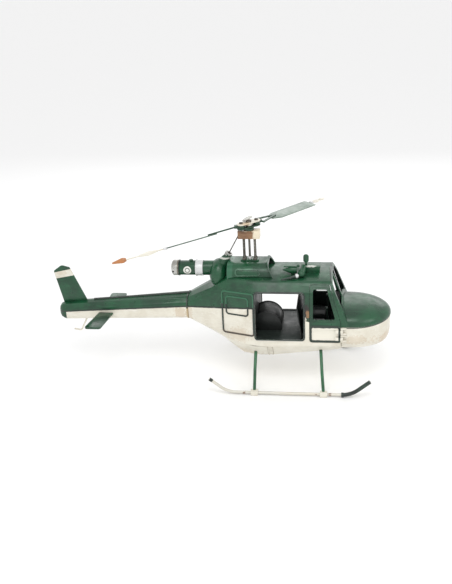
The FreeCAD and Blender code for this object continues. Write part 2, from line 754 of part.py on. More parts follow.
def cowling():
    """Engine cowling with its intake lip and embossed side panels."""
    roof = loft(cabin_stations())
    body = cowl_prism(0).common(intake_side(0))
    hollow = cowl_prism(COWL_WALL).common(block(INTAKE_TOP - INTAKE_DEPTH, FAR, -FAR, FAR, 0, FAR))
    lip = cowl_prism(-1.2).common(intake_side(INTAKE_LIP)).cut(intake_side(0))
    panel = rectangle(COWL_PANEL, (COWL_PANEL[3] - COWL_PANEL[2]) / 2 - 0.2)
    ring = panel.cut(panel.makeOffset2D(-1.2))
    layer = cowl_prism(-BEAD_HEIGHT).cut(cowl_prism(0))
    return {
        "engine_cowling": less(body, hollow, roof),
        "intake_lip": less(lip, cowl_prism(COWL_WALL), roof),
        "cowling_panels": group(layer.common(through(ring, -FAR, 0)),
                                layer.common(through(ring, 0, FAR))),
    }


def fairing():
    """Bulb behind the cowling, with the funnel on its neck and the stay rod."""
    bulb = ellipsoid(FAIRING_CENTRE, FAIRING_RADII)
    neck = rod(vec(*NECK_FOOT), vec(*NECK_TOP), *NECK_RADII)
    body = joined(bulb, neck)
    hull = loft(cone_stations() + cabin_stations()[1:])
    body = less(body, hull, cowl_prism(0).common(intake_side(0)))
    along = (vec(*NECK_TOP) - vec(*NECK_FOOT)).normalize()
    top = vec(*NECK_TOP)
    funnel = rod(top, top + along * FUNNEL_HEIGHT, FUNNEL_RADIUS)
    funnel = less(funnel, rod(top + along * 1.2, top + along * FUNNEL_HEIGHT, FUNNEL_BORE))
    foot = top + along * 1.2
    block_side = vec(MAST_X - BLOCK[0] / 2, 0, BLOCK_BOTTOM + 2.0)
    stay = rod(foot, block_side + (block_side - foot).normalize() * 2, STAY_RADIUS)
    stay = less(stay, mast_block_body())
    return {"fairing": body, "funnel": less(funnel, body), "stay_rod": less(stay, funnel)}


def along_x(x0, x1, radius):
    """Round bar on the exhaust's centre line."""
    return rod(vec(x0, 0, EXHAUST_Z), vec(x1, 0, EXHAUST_Z), radius)


def exhaust():
    """Barrel with its bands, roundels and domed end cap."""
    blank = joined(ellipsoid(FAIRING_CENTRE, FAIRING_RADII),
                   rod(vec(*NECK_FOOT), vec(*NECK_TOP), *NECK_RADII))
    barrel = less(along_x(EXHAUST_REAR, EXHAUST_FRONT + 8, EXHAUST_RADIUS), blank)
    barrel = barrel.common(block(-FAR, FAIRING_CENTRE[0], -FAR, FAR, 0, FAR))
    ring_rear = EXHAUST_REAR - RING_WIDTH
    band = along_x(BAND[0], BAND[1], EXHAUST_RADIUS + BAND_HEIGHT)
    flange = along_x(BAND[0] - 1.0, BAND[0], EXHAUST_RADIUS + FLANGE_HEIGHT)
    cap_rear = ring_rear - CAP_LENGTH
    cap_dome = ellipsoid((cap_rear, 0, EXHAUST_Z), (CAP_DOME, CAP_RADIUS, CAP_RADIUS))
    cap = joined(along_x(cap_rear, ring_rear, CAP_RADIUS),
                 cap_dome.common(block(-FAR, cap_rear, -FAR, FAR, 0, FAR)))
    hole_at = vec(cap_rear - CAP_DOME - 1, -2.0, EXHAUST_Z)
    cap = less(cap, rod(hole_at, hole_at + vec(4.5, 0, 0), CAP_HOLE))
    disc = along_x(ROUNDEL_X - 10, ROUNDEL_X + 10, EXHAUST_RADIUS + ROUNDEL_HEIGHT)
    disc = disc.cut(along_x(ROUNDEL_X - 12, ROUNDEL_X + 12, EXHAUST_RADIUS))
    right = vec(ROUNDEL_X, -20, EXHAUST_Z)
    left = vec(ROUNDEL_X, 0, EXHAUST_Z)
    roundels = [disc.common(rod(start, start + vec(0, 20, 0), ROUNDEL_RADIUS))
                for start in (right, left)]
    bump = rod(vec(BUMP_X, 0, EXHAUST_Z), vec(BUMP_X, 0, EXHAUST_Z + EXHAUST_RADIUS + 1.4), 2.2)
    return {
        "exhaust_barrel": barrel,
        "exhaust_band": less(joined(band, flange), along_x(BAND[0] - 2, BAND[1] + 1, EXHAUST_RADIUS)),
        "exhaust_ring": along_x(ring_rear, EXHAUST_REAR, RING_RADIUS),
        "exhaust_cap": cap,
        "exhaust_roundels": group(*roundels),
        "exhaust_bump": less(bump, along_x(BUMP_X - 9, BUMP_X + 6, EXHAUST_RADIUS)),
    }


# ---- tail -----------------------------------------------------------------------------------
def tail_boom():
    """Boom in two halves, its collar, spine and end cap."""
    boom = shell(boom_stations(), WALL)
    below = below_line(BOOM_REAR, SEAM_REAR, BOOM_FRONT, SEAM_FRONT)
    outer = loft(boom_stations())
    both = joined(outer, loft(cone_stations()))
    collar = loft(boom_stations(), -COLLAR_HEIGHT).cut(outer)
    collar = collar.common(block(BOOM_FRONT - COLLAR_WIDTH, BOOM_FRONT, -FAR, FAR, 0, FAR))
    rear_wire = boom_stations()[0]
    wires = []
    for share, size in ((0.0, 1.0), (0.35, 0.95), (0.7, 0.78), (0.9, 0.52), (1.0, 0.25)):
        centre = (rear_wire.bottom + rear_wire.crown) / 2
        wire = rear_wire.wire(0)
        wire.scale(size, vec(BOOM_REAR, 0, centre))
        wire.translate(vec(-END_CAP_LENGTH * share, 0, 0))
        wires.append(wire)
    slope = (boom_stations()[1].crown - rear_wire.crown) / (BOOM_FRONT - BOOM_REAR)
    height = rear_wire.crown + slope * (SPINE_REAR - BOOM_REAR)
    rear = vec(SPINE_REAR, 0, height)
    front = vec(SPINE_FRONT, 0, height + slope * (SPINE_FRONT - SPINE_REAR))
    spine = rod(rear, front, SPINE_RADIUS)
    return {
        "boom_lower": boom.common(below),
        "boom_upper": boom.cut(below),
        "boom_collar": less(collar, spine),
        "boom_spine": less(spine, both),
        "boom_end_cap": Part.makeLoft(wires, True, True),
    }


def between(start, end, share):
    """Point part of the way from one to the other."""
    return (start[0] + (end[0] - start[0]) * share, start[1] + (end[1] - start[1]) * share)


def sheet_xz(points, radii, thickness):
    """Flat sheet upright in the middle of the object."""
    face = Part.Face(rounded_wire([vec(x, 0, z) for x, z in points], radii))
    return through(face, -thickness / 2, thickness / 2)


def fin():
    """Upright fin with its pale band and rounded cap."""
    rear, front = FIN_ROOT
    top_rear, top_front = FIN_TOP
    low, high = FIN_BAND_AT
    a_rear, a_front = between(rear, top_rear, low), between(front, top_front, low)
    b_rear, b_front = between(rear, top_rear, high), between(front, top_front, high)
    hull = joined(loft(boom_stations()), tail_boom()["boom_end_cap"])
    cap = [b_rear, b_front, top_front, FIN_APEX, top_rear]
    return {
        "fin": less(sheet_xz([rear, front, a_front, a_rear], [0] * 4, FIN_SHEET), hull),
        "fin_band": sheet_xz([a_rear, a_front, b_front, b_rear], [0] * 4, FIN_SHEET + 0.3),
        "fin_cap": sheet_xz(cap, [0, 0, 1.8, 5.0, 1.8], FIN_SHEET),
    }


def stabiliser(side, hull):
    """Level tail plane of one side, clear of the boom."""
    tip_rear, tip_front, span = STAB_TIPS[side]
    points = [vec(STAB_ROOT[0], 0, 0), vec(STAB_ROOT[1], 0, 0),
              vec(tip_front, -span, 0), vec(tip_rear, -span, 0)]
    face = Part.Face(rounded_wire(points, [0, 0, STAB_CORNER, STAB_CORNER]))
    face.translate(vec(0, 0, STAB_Z - STAB_SHEET / 2))
    plane = less(face.extrude(vec(0, 0, STAB_SHEET)), hull)
    return flipped(plane) if side == "left" else plane


def tail_planes():
    """Level tail planes and the bent skeg."""
    hull = loft(boom_stations())
    skeg_points = [vec(x, 0, z) for x, z in SKEG_POINTS]
    lift = (skeg_points[0] - skeg_points[1]).normalize() * 6
    skeg = bent_rod([skeg_points[0] + lift] + skeg_points[1:], SKEG_RADIUS, 2.5)
    return {"right_stabiliser": stabiliser("right", hull),
            "left_stabiliser": stabiliser("left", hull),
            "skeg": less(skeg, hull)}


def tail_rotor():
    """Small rotor on the left of the fin, its boss and its pin."""
    x, z = TAIL_ROTOR_AT
    start = FIN_SHEET / 2
    boss_end = start + TAIL_BOSS_LENGTH
    hub_start = boss_end + TAIL_SIDE_GAP
    hub_end = hub_start + TAIL_HUB_LENGTH
    pin_end = hub_end + TAIL_SIDE_GAP
    boss = rod(vec(x, start, z), vec(x, boss_end, z), TAIL_BOSS_RADIUS)
    pin = rod(vec(x, start, z), vec(x, pin_end, z), TAIL_PIN_RADIUS)
    cap = rod(vec(x, pin_end, z), vec(x, pin_end + TAIL_CAP_LENGTH, z), TAIL_CAP_RADIUS)
    hub = rod(vec(x, hub_start, z), vec(x, hub_end, z), TAIL_HUB_RADIUS)
    bore = rod(vec(x, start, z), vec(x, pin_end, z), TAIL_PIN_RADIUS + TAIL_CLEARANCE)
    middle = (hub_start + hub_end) / 2
    y0, y1 = middle - TAIL_BLADE_SHEET / 2, middle + TAIL_BLADE_SHEET / 2
    sweep = atan2(FIN_TOP[1][0] - FIN_ROOT[1][0], FIN_TOP[1][1] - FIN_ROOT[1][1])
    blades = []
    for turn in (0, 180):
        blade = block(-TAIL_BLADE_CHORD / 2, TAIL_BLADE_CHORD / 2, y0, y1,
                      TAIL_HUB_RADIUS - 1.0, TAIL_BLADE_REACH)
        blade.rotate(vec(0, 0, 0), vec(0, 1, 0), degrees(sweep) + turn)
        blade.translate(vec(x, 0, z))
        blades.append(less(blade, hub))
    return {"tail_rotor_pin": joined(boss, pin, cap), "tail_rotor_hub": less(hub, bore),
            "tail_rotor_blades": group(*blades)}


# ---- skids ----------------------------------------------------------------------------------
def skids():
    """Tubes, toes, heels, legs and saddles of both sides."""
    rear_bend = (SKID_REAR_BEND, SKID_Z)
    front_bend = (SKID_FRONT_BEND, SKID_Z)
    path = [vec(x, -SKID_Y, z) for x, z in (SKID_REAR_TIP, rear_bend, front_bend, SKID_FRONT_TIP)]
    tube = bent_rod(path, SKID_RADIUS, SKID_BEND_RADIUS)
    front = block(TOE_START, FAR, -FAR, 0, -10, FAR)
    toe = bent_rod(path, TOE_RADIUS, SKID_BEND_RADIUS).common(front)
    start = vec(TOE_START, -SKID_Y, SKID_Z)
    collar = rod(start - vec(TOE_COLLAR, 0, 0), start, TOE_RADIUS + TOE_COLLAR_HEIGHT)
    heel_axis = (path[1] - path[0]).normalize()
    heel = rod(path[0], path[0] + heel_axis * HEEL_LENGTH, HEEL_RADIUS)
    parts = {
        "right_skid_tube": less(tube, front),
        "right_skid_toe": toe,
        "right_toe_collar": less(collar, tube),
        "right_skid_heel": less(heel, tube),
    }
    hull = loft(cabin_stations())
    for word, (top_x, foot_x) in (("rear", LEG_REAR_X), ("front", LEG_FRONT_X)):
        length, width, height = SADDLE
        saddle = block(foot_x - length / 2, foot_x + length / 2, -SKID_Y - width / 2,
                       -SKID_Y + width / 2, 0, height)
        knee = vec(top_x + (foot_x - top_x) / 2, -LEG_KNEE[0], LEG_KNEE[1])
        foot = vec(foot_x, -SKID_Y, SKID_Z)
        leg = bent_rod([vec(top_x, -LEG_TOP_Y, 46.0), knee, foot], LEG_RADIUS, 30.0)
        parts["right_" + word + "_leg"] = less(leg, hull, block(-FAR, FAR, -FAR, 0, -20, height))
        parts["right_" + word + "_saddle"] = less(saddle, tube)
    for name in list(parts):
        parts[name.replace("right_", "left_")] = flipped(parts[name])
    return parts


# ---- mast and main rotor ----------------------------------------------------------------------
def mast_block_body():
    length, width, height = BLOCK
    x0 = MAST_X - length / 2
    body = block(x0, x0 + length, -width / 2, width / 2, BLOCK_BOTTOM, BLOCK_BOTTOM + height)
    bore = rod(vec(MAST_X, 0, 0), vec(MAST_X, 0, FAR), SHAFT_RADIUS + SHAFT_CLEARANCE)
    return body.cut(bore)


def mast():
    """Plate on the cowling, nuts, posts and the head block."""
    length, width, thickness = MAST_PLATE
    plate_top = COWL_TOP + thickness
    x0 = MAST_X - length / 2
    plate = block(x0, x0 + length, -width / 2, width / 2, COWL_TOP, plate_top)
    posts = []
    nuts = []
    along, across = POST_SPACING
    for x, y in ((-along, -across), (-along, across), (along, -across), (along, across)):
        base = vec(MAST_X + x, y, plate_top)
        post = rod(base, vec(base.x, y, BLOCK_BOTTOM), POST_RADIUS)
        posts.append(post)
        nuts.append(less(hexagon(NUT_RADIUS, NUT_HEIGHT, base), post))
    step_base = vec(MAST_X, 0, plate_top)
    bearing = rod(step_base, step_base + vec(0, 0, NUT_HEIGHT + 1), BEARING_RADIUS)
    socket = rod(vec(MAST_X, 0, SHAFT_FOOT - 2 * SHAFT_CLEARANCE), vec(MAST_X, 0, FAR),
                 SHAFT_RADIUS + SHAFT_CLEARANCE)
    return {"mast_plate": plate, "mast_posts": group(*posts), "mast_nuts": group(*nuts),
            "mast_step": less(bearing, socket), "mast_block": mast_block_body()}


def stadium(radius, spacing, thickness, z):
    """Flat bar with round ends, centred on the mast and turned to the hub's line."""
    ends = [rod(vec(x, 0, z), vec(x, 0, z + thickness), radius) for x in (-spacing, spacing)]
    bar = block(-spacing, spacing, -radius, radius, z, z + thickness)
    return to_hub(joined(ends[0], bar, ends[1]))


def to_hub(shape):
    """Turn a shape made at the origin to the hub's line and carry it to the mast."""
    turned = shape.copy()
    turned.rotate(vec(0, 0, 0), vec(0, 0, 1), HUB_AZIMUTH)
    turned.translate(vec(MAST_X, 0, 0))
    return turned


def rotor_head():
    """Shaft, disc, hub plates, bolts, spacer and the oval plate on top."""
    upper_z = HUB_PLATE_BOTTOM + HUB_PLATE + HUB_GAP
    top = upper_z + HUB_PLATE
    shaft = rod(vec(MAST_X, 0, SHAFT_FOOT), vec(MAST_X, 0, top), SHAFT_RADIUS)
    disc_z = BLOCK_BOTTOM + BLOCK[2] + ROTATING_GAP
    disc = joined(rod(vec(MAST_X, 0, disc_z), vec(MAST_X, 0, disc_z + DISC_THICKNESS), DISC_RADIUS),
                  rod(vec(MAST_X, 0, disc_z), vec(MAST_X, 0, HUB_PLATE_BOTTOM), DISC_NECK))
    spacer = rod(vec(MAST_X, 0, HUB_PLATE_BOTTOM + HUB_PLATE), vec(MAST_X, 0, upper_z), HUB_SPACER)
    lower = stadium(HUB_END_RADIUS, BOLT_CIRCLE, HUB_PLATE, HUB_PLATE_BOTTOM)
    upper = stadium(HUB_END_RADIUS, BOLT_CIRCLE, HUB_PLATE, upper_z)
    bolts = []
    for side in (-1, 1):
        foot = vec(side * BOLT_CIRCLE, 0, HUB_PLATE_BOTTOM - BOLT_HEAD_HEIGHT)
        stem = rod(foot, vec(foot.x, 0, top), BOLT_RADIUS)
        bolts.append(to_hub(joined(stem, hexagon(BOLT_HEAD, BOLT_HEAD_HEIGHT, foot),
                                   hexagon(BOLT_HEAD, BOLT_HEAD_HEIGHT, vec(foot.x, 0, top)))))
    nut = hexagon(*HUB_NUT, vec(MAST_X, 0, top))
    long, short, thickness = TOP_PLATE
    oval = Part.Face(Part.Wire(Part.Ellipse(vec(0, 0, 0), long, short).toShape()))
    oval = oval.extrude(vec(0, 0, thickness))
    oval.rotate(vec(0, 0, 0), vec(0, 1, 0), -TOP_PLATE_TILT)
    oval.translate(vec(MAST_X - 1.0, 0, top + TOP_PLATE_LIFT))
    return {
        "rotor_shaft": shaft,
        "rotor_disc": less(disc, shaft),
        "hub_spacer": less(spacer, shaft),
        "hub_lower_plate": less(lower, shaft, *bolts),
        "hub_upper_plate": less(upper, shaft, *bolts),
        "hub_bolts": group(*bolts),
        "hub_nut": nut,
        "hub_oval_plate": less(oval, nut),
    }


def place_blade(shape, azimuth, pitch, droop):
    """Carry a shape drawn along +X from its bolt to its place on the hub."""
    side = 1 if abs(azimuth - HUB_AZIMUTH) < 90 else -1
    hub_turn = radians(HUB_AZIMUTH)
    hinge_z = HUB_PLATE_BOTTOM + HUB_PLATE + HUB_GAP / 2
    placed = shape.copy()
    placed.rotate(vec(0, 0, 0), vec(1, 0, 0), pitch)
    placed.rotate(vec(0, 0, 0), vec(0, 1, 0), droop)
    placed.rotate(vec(0, 0, 0), vec(0, 0, 1), azimuth)
    placed.translate(vec(MAST_X + side * BOLT_CIRCLE * cos(hub_turn),
                         side * BOLT_CIRCLE * sin(hub_turn), hinge_z))
    return placed


def blade_grip(azimuth, droop, pitch):
    """Lug, crossbar and two straps that meet on the blade."""
    half = LUG_THICKNESS / 2
    near, far, reach = CROSSBAR
    lug = rod(vec(0, 0, -half), vec(0, 0, half), LUG_RADIUS)
    neck = block(0, far, -2.4, 2.4, -half, half)
    bore = rod(vec(0, 0, -FAR), vec(0, 0, FAR), BOLT_RADIUS + SHAFT_CLEARANCE)
    root = place_blade(less(joined(lug, neck), bore), azimuth, 0, 0)
    bar = block(near, far, -reach, reach, 0, STRAP_THICKNESS)
    straps = []
    for side in (-1, 1):
        outline = [vec(near, side * reach, 0), vec(near, side * (reach - STRAP_WIDTH), 0),
                   vec(STRAP_END, side * -0.8, 0), vec(STRAP_END, side * (STRAP_WIDTH - 0.8), 0)]
        straps.append(Part.Face(Part.makePolygon(outline + outline[:1]))
                      .extrude(vec(0, 0, STRAP_THICKNESS)))
    fork = place_blade(joined(bar, *straps), azimuth, pitch, droop)
    return joined(root, fork)


def blade_parts(name, azimuth, droop, pitch, chord, end, leaf_run, tip_start, leaf_pitch, tip_pitch):
    """Grip, flat blade, collar, leaf with its wire, and tip of one rotor blade."""
    z0, z1 = -BLADE_SHEET, 0.0
    half = chord / 2
    root_half = BLADE_ROOT_CHORD / 2
    points = [vec(BLADE_ROOT, -root_half, z0), vec(BLADE_SHOULDER, -half, z0), vec(end, -half, z0),
              vec(end, half, z0), vec(BLADE_SHOULDER, half, z0), vec(BLADE_ROOT, root_half, z0)]
    flat = Part.Face(rounded_wire(points, [1, 3, 1, 1, 3, 1])).extrude(vec(0, 0, BLADE_SHEET))
    middle = (z0 + z1) / 2
    collar = block(end, end + COLLAR_LENGTH, -2.0, 2.0, middle - 1.6, middle + 1.6)
    start = end + COLLAR_LENGTH
    leaf_start, leaf_end = leaf_run
    centre = (leaf_start + leaf_end) / 2
    outline = [vec(leaf_start, -1, z0), vec(centre, -LEAF_CHORD / 2, z0), vec(leaf_end, -1, z0),
               vec(leaf_end, 1, z0), vec(centre, LEAF_CHORD / 2, z0), vec(leaf_start, 1, z0)]
    leaf = Part.Face(rounded_wire(outline, [0, 6, 0, 0, 6, 0])).extrude(vec(0, 0, BLADE_SHEET))
    wire = rod(vec(start, 0, middle), vec(tip_start, 0, middle), WIRE_RADIUS)
    tip_half = TIP_CHORD / 2
    spear = [vec(tip_start, -tip_half * 0.6, z0), vec(tip_start + 4, -tip_half, z0),
             vec(BLADE_REACH, -0.8, z0), vec(BLADE_REACH, 0.8, z0),
             vec(tip_start + 4, tip_half, z0), vec(tip_start, tip_half * 0.6, z0)]
    tip = Part.Face(rounded_wire(spear, [0, 2, 0.6, 0.6, 2, 0])).extrude(vec(0, 0, BLADE_SHEET))
    grip = blade_grip(azimuth, droop, pitch)
    placed = {
        name + "_blade": less(place_blade(flat, azimuth, pitch, droop), grip),
        name + "_blade_collar": place_blade(collar, azimuth, pitch, droop),
        name + "_blade_leaf": place_blade(joined(leaf, wire), azimuth, leaf_pitch, droop),
        name + "_blade_tip": place_blade(tip, azimuth, tip_pitch, droop),
        name + "_grip": grip,
    }
    return placed


# ---- fittings on the roof --------------------------------------------------------------------
def roof_fittings():
    """Horn, junction box, paddle, elbow and pitot tube."""
    hull = loft(cabin_stations())
    tail, front = HORN_X
    centre_z = ROOF_CROWN + HORN_RADIUS - 0.6
    taper = rod(vec(tail, HORN_Y, centre_z), vec(tail + 9, HORN_Y, centre_z), 0.6, HORN_RADIUS)
    barrel = rod(vec(tail + 9, HORN_Y, centre_z), vec(front, HORN_Y, centre_z), HORN_RADIUS)
    horn_foot = block(tail + 9, front - 2, HORN_Y - 1.2, HORN_Y + 1.2, ROOF_EDGE[1] - 3, centre_z)
    horn = less(joined(taper, barrel, horn_foot), hull)
    bar_z = centre_z + HORN_RADIUS - 0.4
    bar = block(HORN_BAR[0], HORN_BAR[1], HORN_Y - 1.6, HORN_Y + 1.6, bar_z, bar_z + 1.2)
    knob = Part.makeSphere(1.7, vec(HORN_BAR[1] - 0.6, HORN_Y, bar_z + 1.2))
    x0, x1, y0, y1 = BOX
    body = less(block(x0, x1, y0, y1, ROOF_EDGE[1] - 2, BOX_TOP), hull)
    lid = block(x0 - 0.5, x1 + 0.8, y0 - 0.5, y1 + 0.5, BOX_TOP, BOX_TOP + LID)
    px, py = PADDLE_AT
    disc_z = PADDLE_TOP - PADDLE_RADIUS
    outline = [(px - PADDLE_RADIUS, BOX_TOP + LID + 3), (px + PADDLE_RADIUS, BOX_TOP + LID + 3),
               (px + PADDLE_RADIUS, PADDLE_TOP), (px - PADDLE_RADIUS, PADDLE_TOP)]
    blade = through(side_face(outline, PADDLE_RADIUS - 0.2), py - PADDLE_SHEET / 2,
                    py + PADDLE_SHEET / 2)
    stem = rod(vec(px, py, BOX_TOP + LID), vec(px, py, disc_z), 1.0)
    elbow_start, elbow_end = vec(*ELBOW_POINTS[0]), vec(*ELBOW_POINTS[1])
    elbow = joined(rod(elbow_start, elbow_end, ELBOW_RADIUS), Part.makeSphere(ELBOW_RADIUS, elbow_end),
                   Part.makeSphere(ELBOW_RADIUS, elbow_start))
    pitot_tail, pitot_front = vec(*PITOT_POINTS[0]), vec(*PITOT_POINTS[1])
    pitot = rod(pitot_tail, pitot_front, *PITOT_RADII)
    ball = Part.makeSphere(PITOT_BALL, pitot_front)
    strut_x = (pitot_tail.x + pitot_front.x) / 2 + 2
    strut = rod(vec(strut_x, -24.5, ROOF_EDGE[1] - 2), vec(strut_x, -24.5, 127.0), 1.0)
    return {
        "roof_horn": less(horn, bar),
        "horn_bar": joined(bar, knob),
        "roof_box": less(body, elbow),
        "roof_box_lid": lid,
        "roof_paddle": joined(blade, stem),
        "roof_elbow": less(elbow, hull, lid),
        "pitot_tube": less(joined(pitot, strut), hull, ball),
        "pitot_ball": less(ball, hull),
    }


def belly_straps():
    """Short straps from the crease to the flat of the belly, on both sides."""
    layer = loft(cabin_stations(), -0.5).cut(loft(cabin_stations()))
    straps = []
    for x in (55.0, 59.0):
        for y0, y1 in ((-FAR, -BELLY_HALF + 4), (BELLY_HALF - 4, FAR)):
            straps.append(layer.common(block(x, x + 1.2, y0, y1, 0, BELLY_SPLIT - 1)))
    return {"belly_straps": group(*straps)}


NODES = {                    # pieces that share a file, each still a solid of its own
    "lower_side_panels": ["rear_lower_panel", "sill"],
    "upper_side_panels": ["rear_upper_panel"],
    "cabin_posts": ["door_post", "screen_post"],
    "cabin_frames": ["cabin_frame"],
    "side_outlines": ["panel_outline", "panel_window"],
    "door_hinges": ["door_hinge"],
    "seats": ["seat"],
    "control_sticks": ["stick"],
    "stabilisers": ["stabiliser"],
    "skid_tubes": ["skid_tube"],
    "skid_toes": ["skid_toe", "toe_collar", "skid_heel"],
    "skid_legs": ["rear_leg", "front_leg"],
    "skid_saddles": ["rear_saddle", "front_saddle"],
}
TOGETHER = {
    "drum": ["drum_cover", "drum_rims"],
    "controls": ["dash", "control_sticks"],
    "outlines": ["side_outlines", "belly_straps"],
    "cowling_trim": ["intake_lip", "cowling_panels"],
    "funnel_and_stay": ["funnel", "stay_rod"],
    "exhaust_tube": ["exhaust_barrel", "exhaust_bump"],
    "exhaust_bands": ["exhaust_band", "exhaust_ring", "exhaust_roundels"],
    "boom_upper_half": ["boom_upper", "boom_end_cap"],
    "boom_trim": ["boom_collar", "boom_spine"],
    "fin_sheet": ["fin", "fin_cap"],
    "tail_rotor": ["tail_rotor_hub", "tail_rotor_blades"],
    "mast_supports": ["mast_plate", "mast_nuts", "mast_step", "mast_posts"],
    "horn": ["roof_horn", "horn_bar"],
    "junction_box": ["roof_box", "roof_box_lid"],
    "pitot": ["pitot_tube", "pitot_ball"],
    "hub_plates": ["hub_lower_plate", "hub_upper_plate", "hub_spacer", "rotor_disc"],
    "hub_fasteners": ["hub_bolts", "hub_nut"],
    "near_blade_end": ["near_blade_collar", "near_blade_leaf"],
    "far_blade_end": ["far_blade_collar", "far_blade_leaf"],
}


def gathered(parts):
    """Pieces by node: both sides of a pair, and small pieces with what carries them."""
    nodes = dict(parts)
    for node, names in NODES.items():
        nodes[node] = group(*[nodes.pop(side + name) for name in names
                              for side in ("right_", "left_")])
    for node, names in TOGETHER.items():
        nodes[node] = group(*[nodes.pop(name) for name in names])
    return nodes


def main():
    """Writes every node, with the origin under the right skid's rear saddle."""
    parts = {}
    for section in (fuselage_shell, windscreen, side_trim, doors, interior, cowling, fairing,
                    exhaust, tail_boom, fin, tail_planes, tail_rotor, skids, mast, rotor_head,
                    roof_fittings, belly_straps):
        parts.update(section())
    for name, sizes in BLADES.items():
        parts.update(blade_parts(name, *sizes))
    os.makedirs("parts", exist_ok=True)
    for name, shape in gathered(parts).items():
        shape.translate(vec(-LEG_REAR_X[1], SKID_Y, 0))
        shape.exportStep("parts/" + name + ".step")
        print(f"{name:20s} solids {len(shape.Solids)} valid {shape.isValid()} "
              f"volume {shape.Volume:9.1f}")


main()
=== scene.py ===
"""Looks of the painted tin helicopter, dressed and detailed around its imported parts.

Lengths are in millimetres from the cabin's own zero, which lies on its centre plane at the
height of the floor under the skids, and at() turns them into the frame's metres.
"""

import json
import logging
import math
from dataclasses import dataclass, field, replace
from enum import Enum
from functools import cached_property
from typing import Callable

import bmesh
import bpy
from mathutils import Matrix, Vector
from mathutils.bvhtree import BVHTree

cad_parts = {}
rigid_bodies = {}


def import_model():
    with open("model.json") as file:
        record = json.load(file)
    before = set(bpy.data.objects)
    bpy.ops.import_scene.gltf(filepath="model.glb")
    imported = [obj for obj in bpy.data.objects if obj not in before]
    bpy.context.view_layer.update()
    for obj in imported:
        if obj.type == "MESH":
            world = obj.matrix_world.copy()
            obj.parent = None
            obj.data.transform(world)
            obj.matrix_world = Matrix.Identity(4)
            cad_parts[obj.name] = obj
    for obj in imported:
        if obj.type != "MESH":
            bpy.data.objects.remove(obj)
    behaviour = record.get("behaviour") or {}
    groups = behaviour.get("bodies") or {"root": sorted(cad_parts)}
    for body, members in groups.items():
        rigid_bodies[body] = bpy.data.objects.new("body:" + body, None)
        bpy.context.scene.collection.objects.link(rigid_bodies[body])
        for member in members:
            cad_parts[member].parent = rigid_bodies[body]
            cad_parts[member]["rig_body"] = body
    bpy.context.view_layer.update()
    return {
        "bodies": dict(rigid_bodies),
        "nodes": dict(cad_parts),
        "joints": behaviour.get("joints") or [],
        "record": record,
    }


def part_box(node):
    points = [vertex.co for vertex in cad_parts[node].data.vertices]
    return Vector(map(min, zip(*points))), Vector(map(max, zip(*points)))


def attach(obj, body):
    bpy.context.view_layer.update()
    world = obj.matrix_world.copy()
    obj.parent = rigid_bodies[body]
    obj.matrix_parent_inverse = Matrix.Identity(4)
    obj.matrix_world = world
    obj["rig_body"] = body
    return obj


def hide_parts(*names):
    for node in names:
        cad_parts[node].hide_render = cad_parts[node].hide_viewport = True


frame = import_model()

LOG = logging.getLogger("tin_helicopter")
MM = 0.001
Colour = tuple[float, float, float, float]

BLOCK_LOW, BLOCK_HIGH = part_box("mast_block")
MAST_X = 35.0                       # the mast stands here along the cabin
DATUM = Vector(((BLOCK_LOW.x + BLOCK_HIGH.x) / 2 - MAST_X * MM, (BLOCK_LOW.y + BLOCK_HIGH.y) / 2, 0.0))

BELT_POINTS = ((-181.0, 75.0), (-36.0, 86.4), (42.7, 95.5))   # colour line, X and Z
NOSE_BELT = 75.0
PANEL_REAR = 41.0
DOOR_PANEL = (102.6, 133.4, 58.2, 75.2)


def tone(red: int, green: int, blue: int) -> Colour:
    """Linear colour of a paint given by its screen values from 0 to 255."""
    def linear(value: int) -> float:
        """One channel without the screen's curve."""
        share = value / 255.0
        return share / 12.92 if share <= 0.04045 else ((share + 0.055) / 1.055) ** 2.4

    return (linear(red), linear(green), linear(blue), 1.0)


def at(x: float, y: float, z: float) -> Vector:
    """Place in the frame, in metres, of a point given in the cabin's millimetres."""
    return DATUM + Vector((x, y, z)) * MM


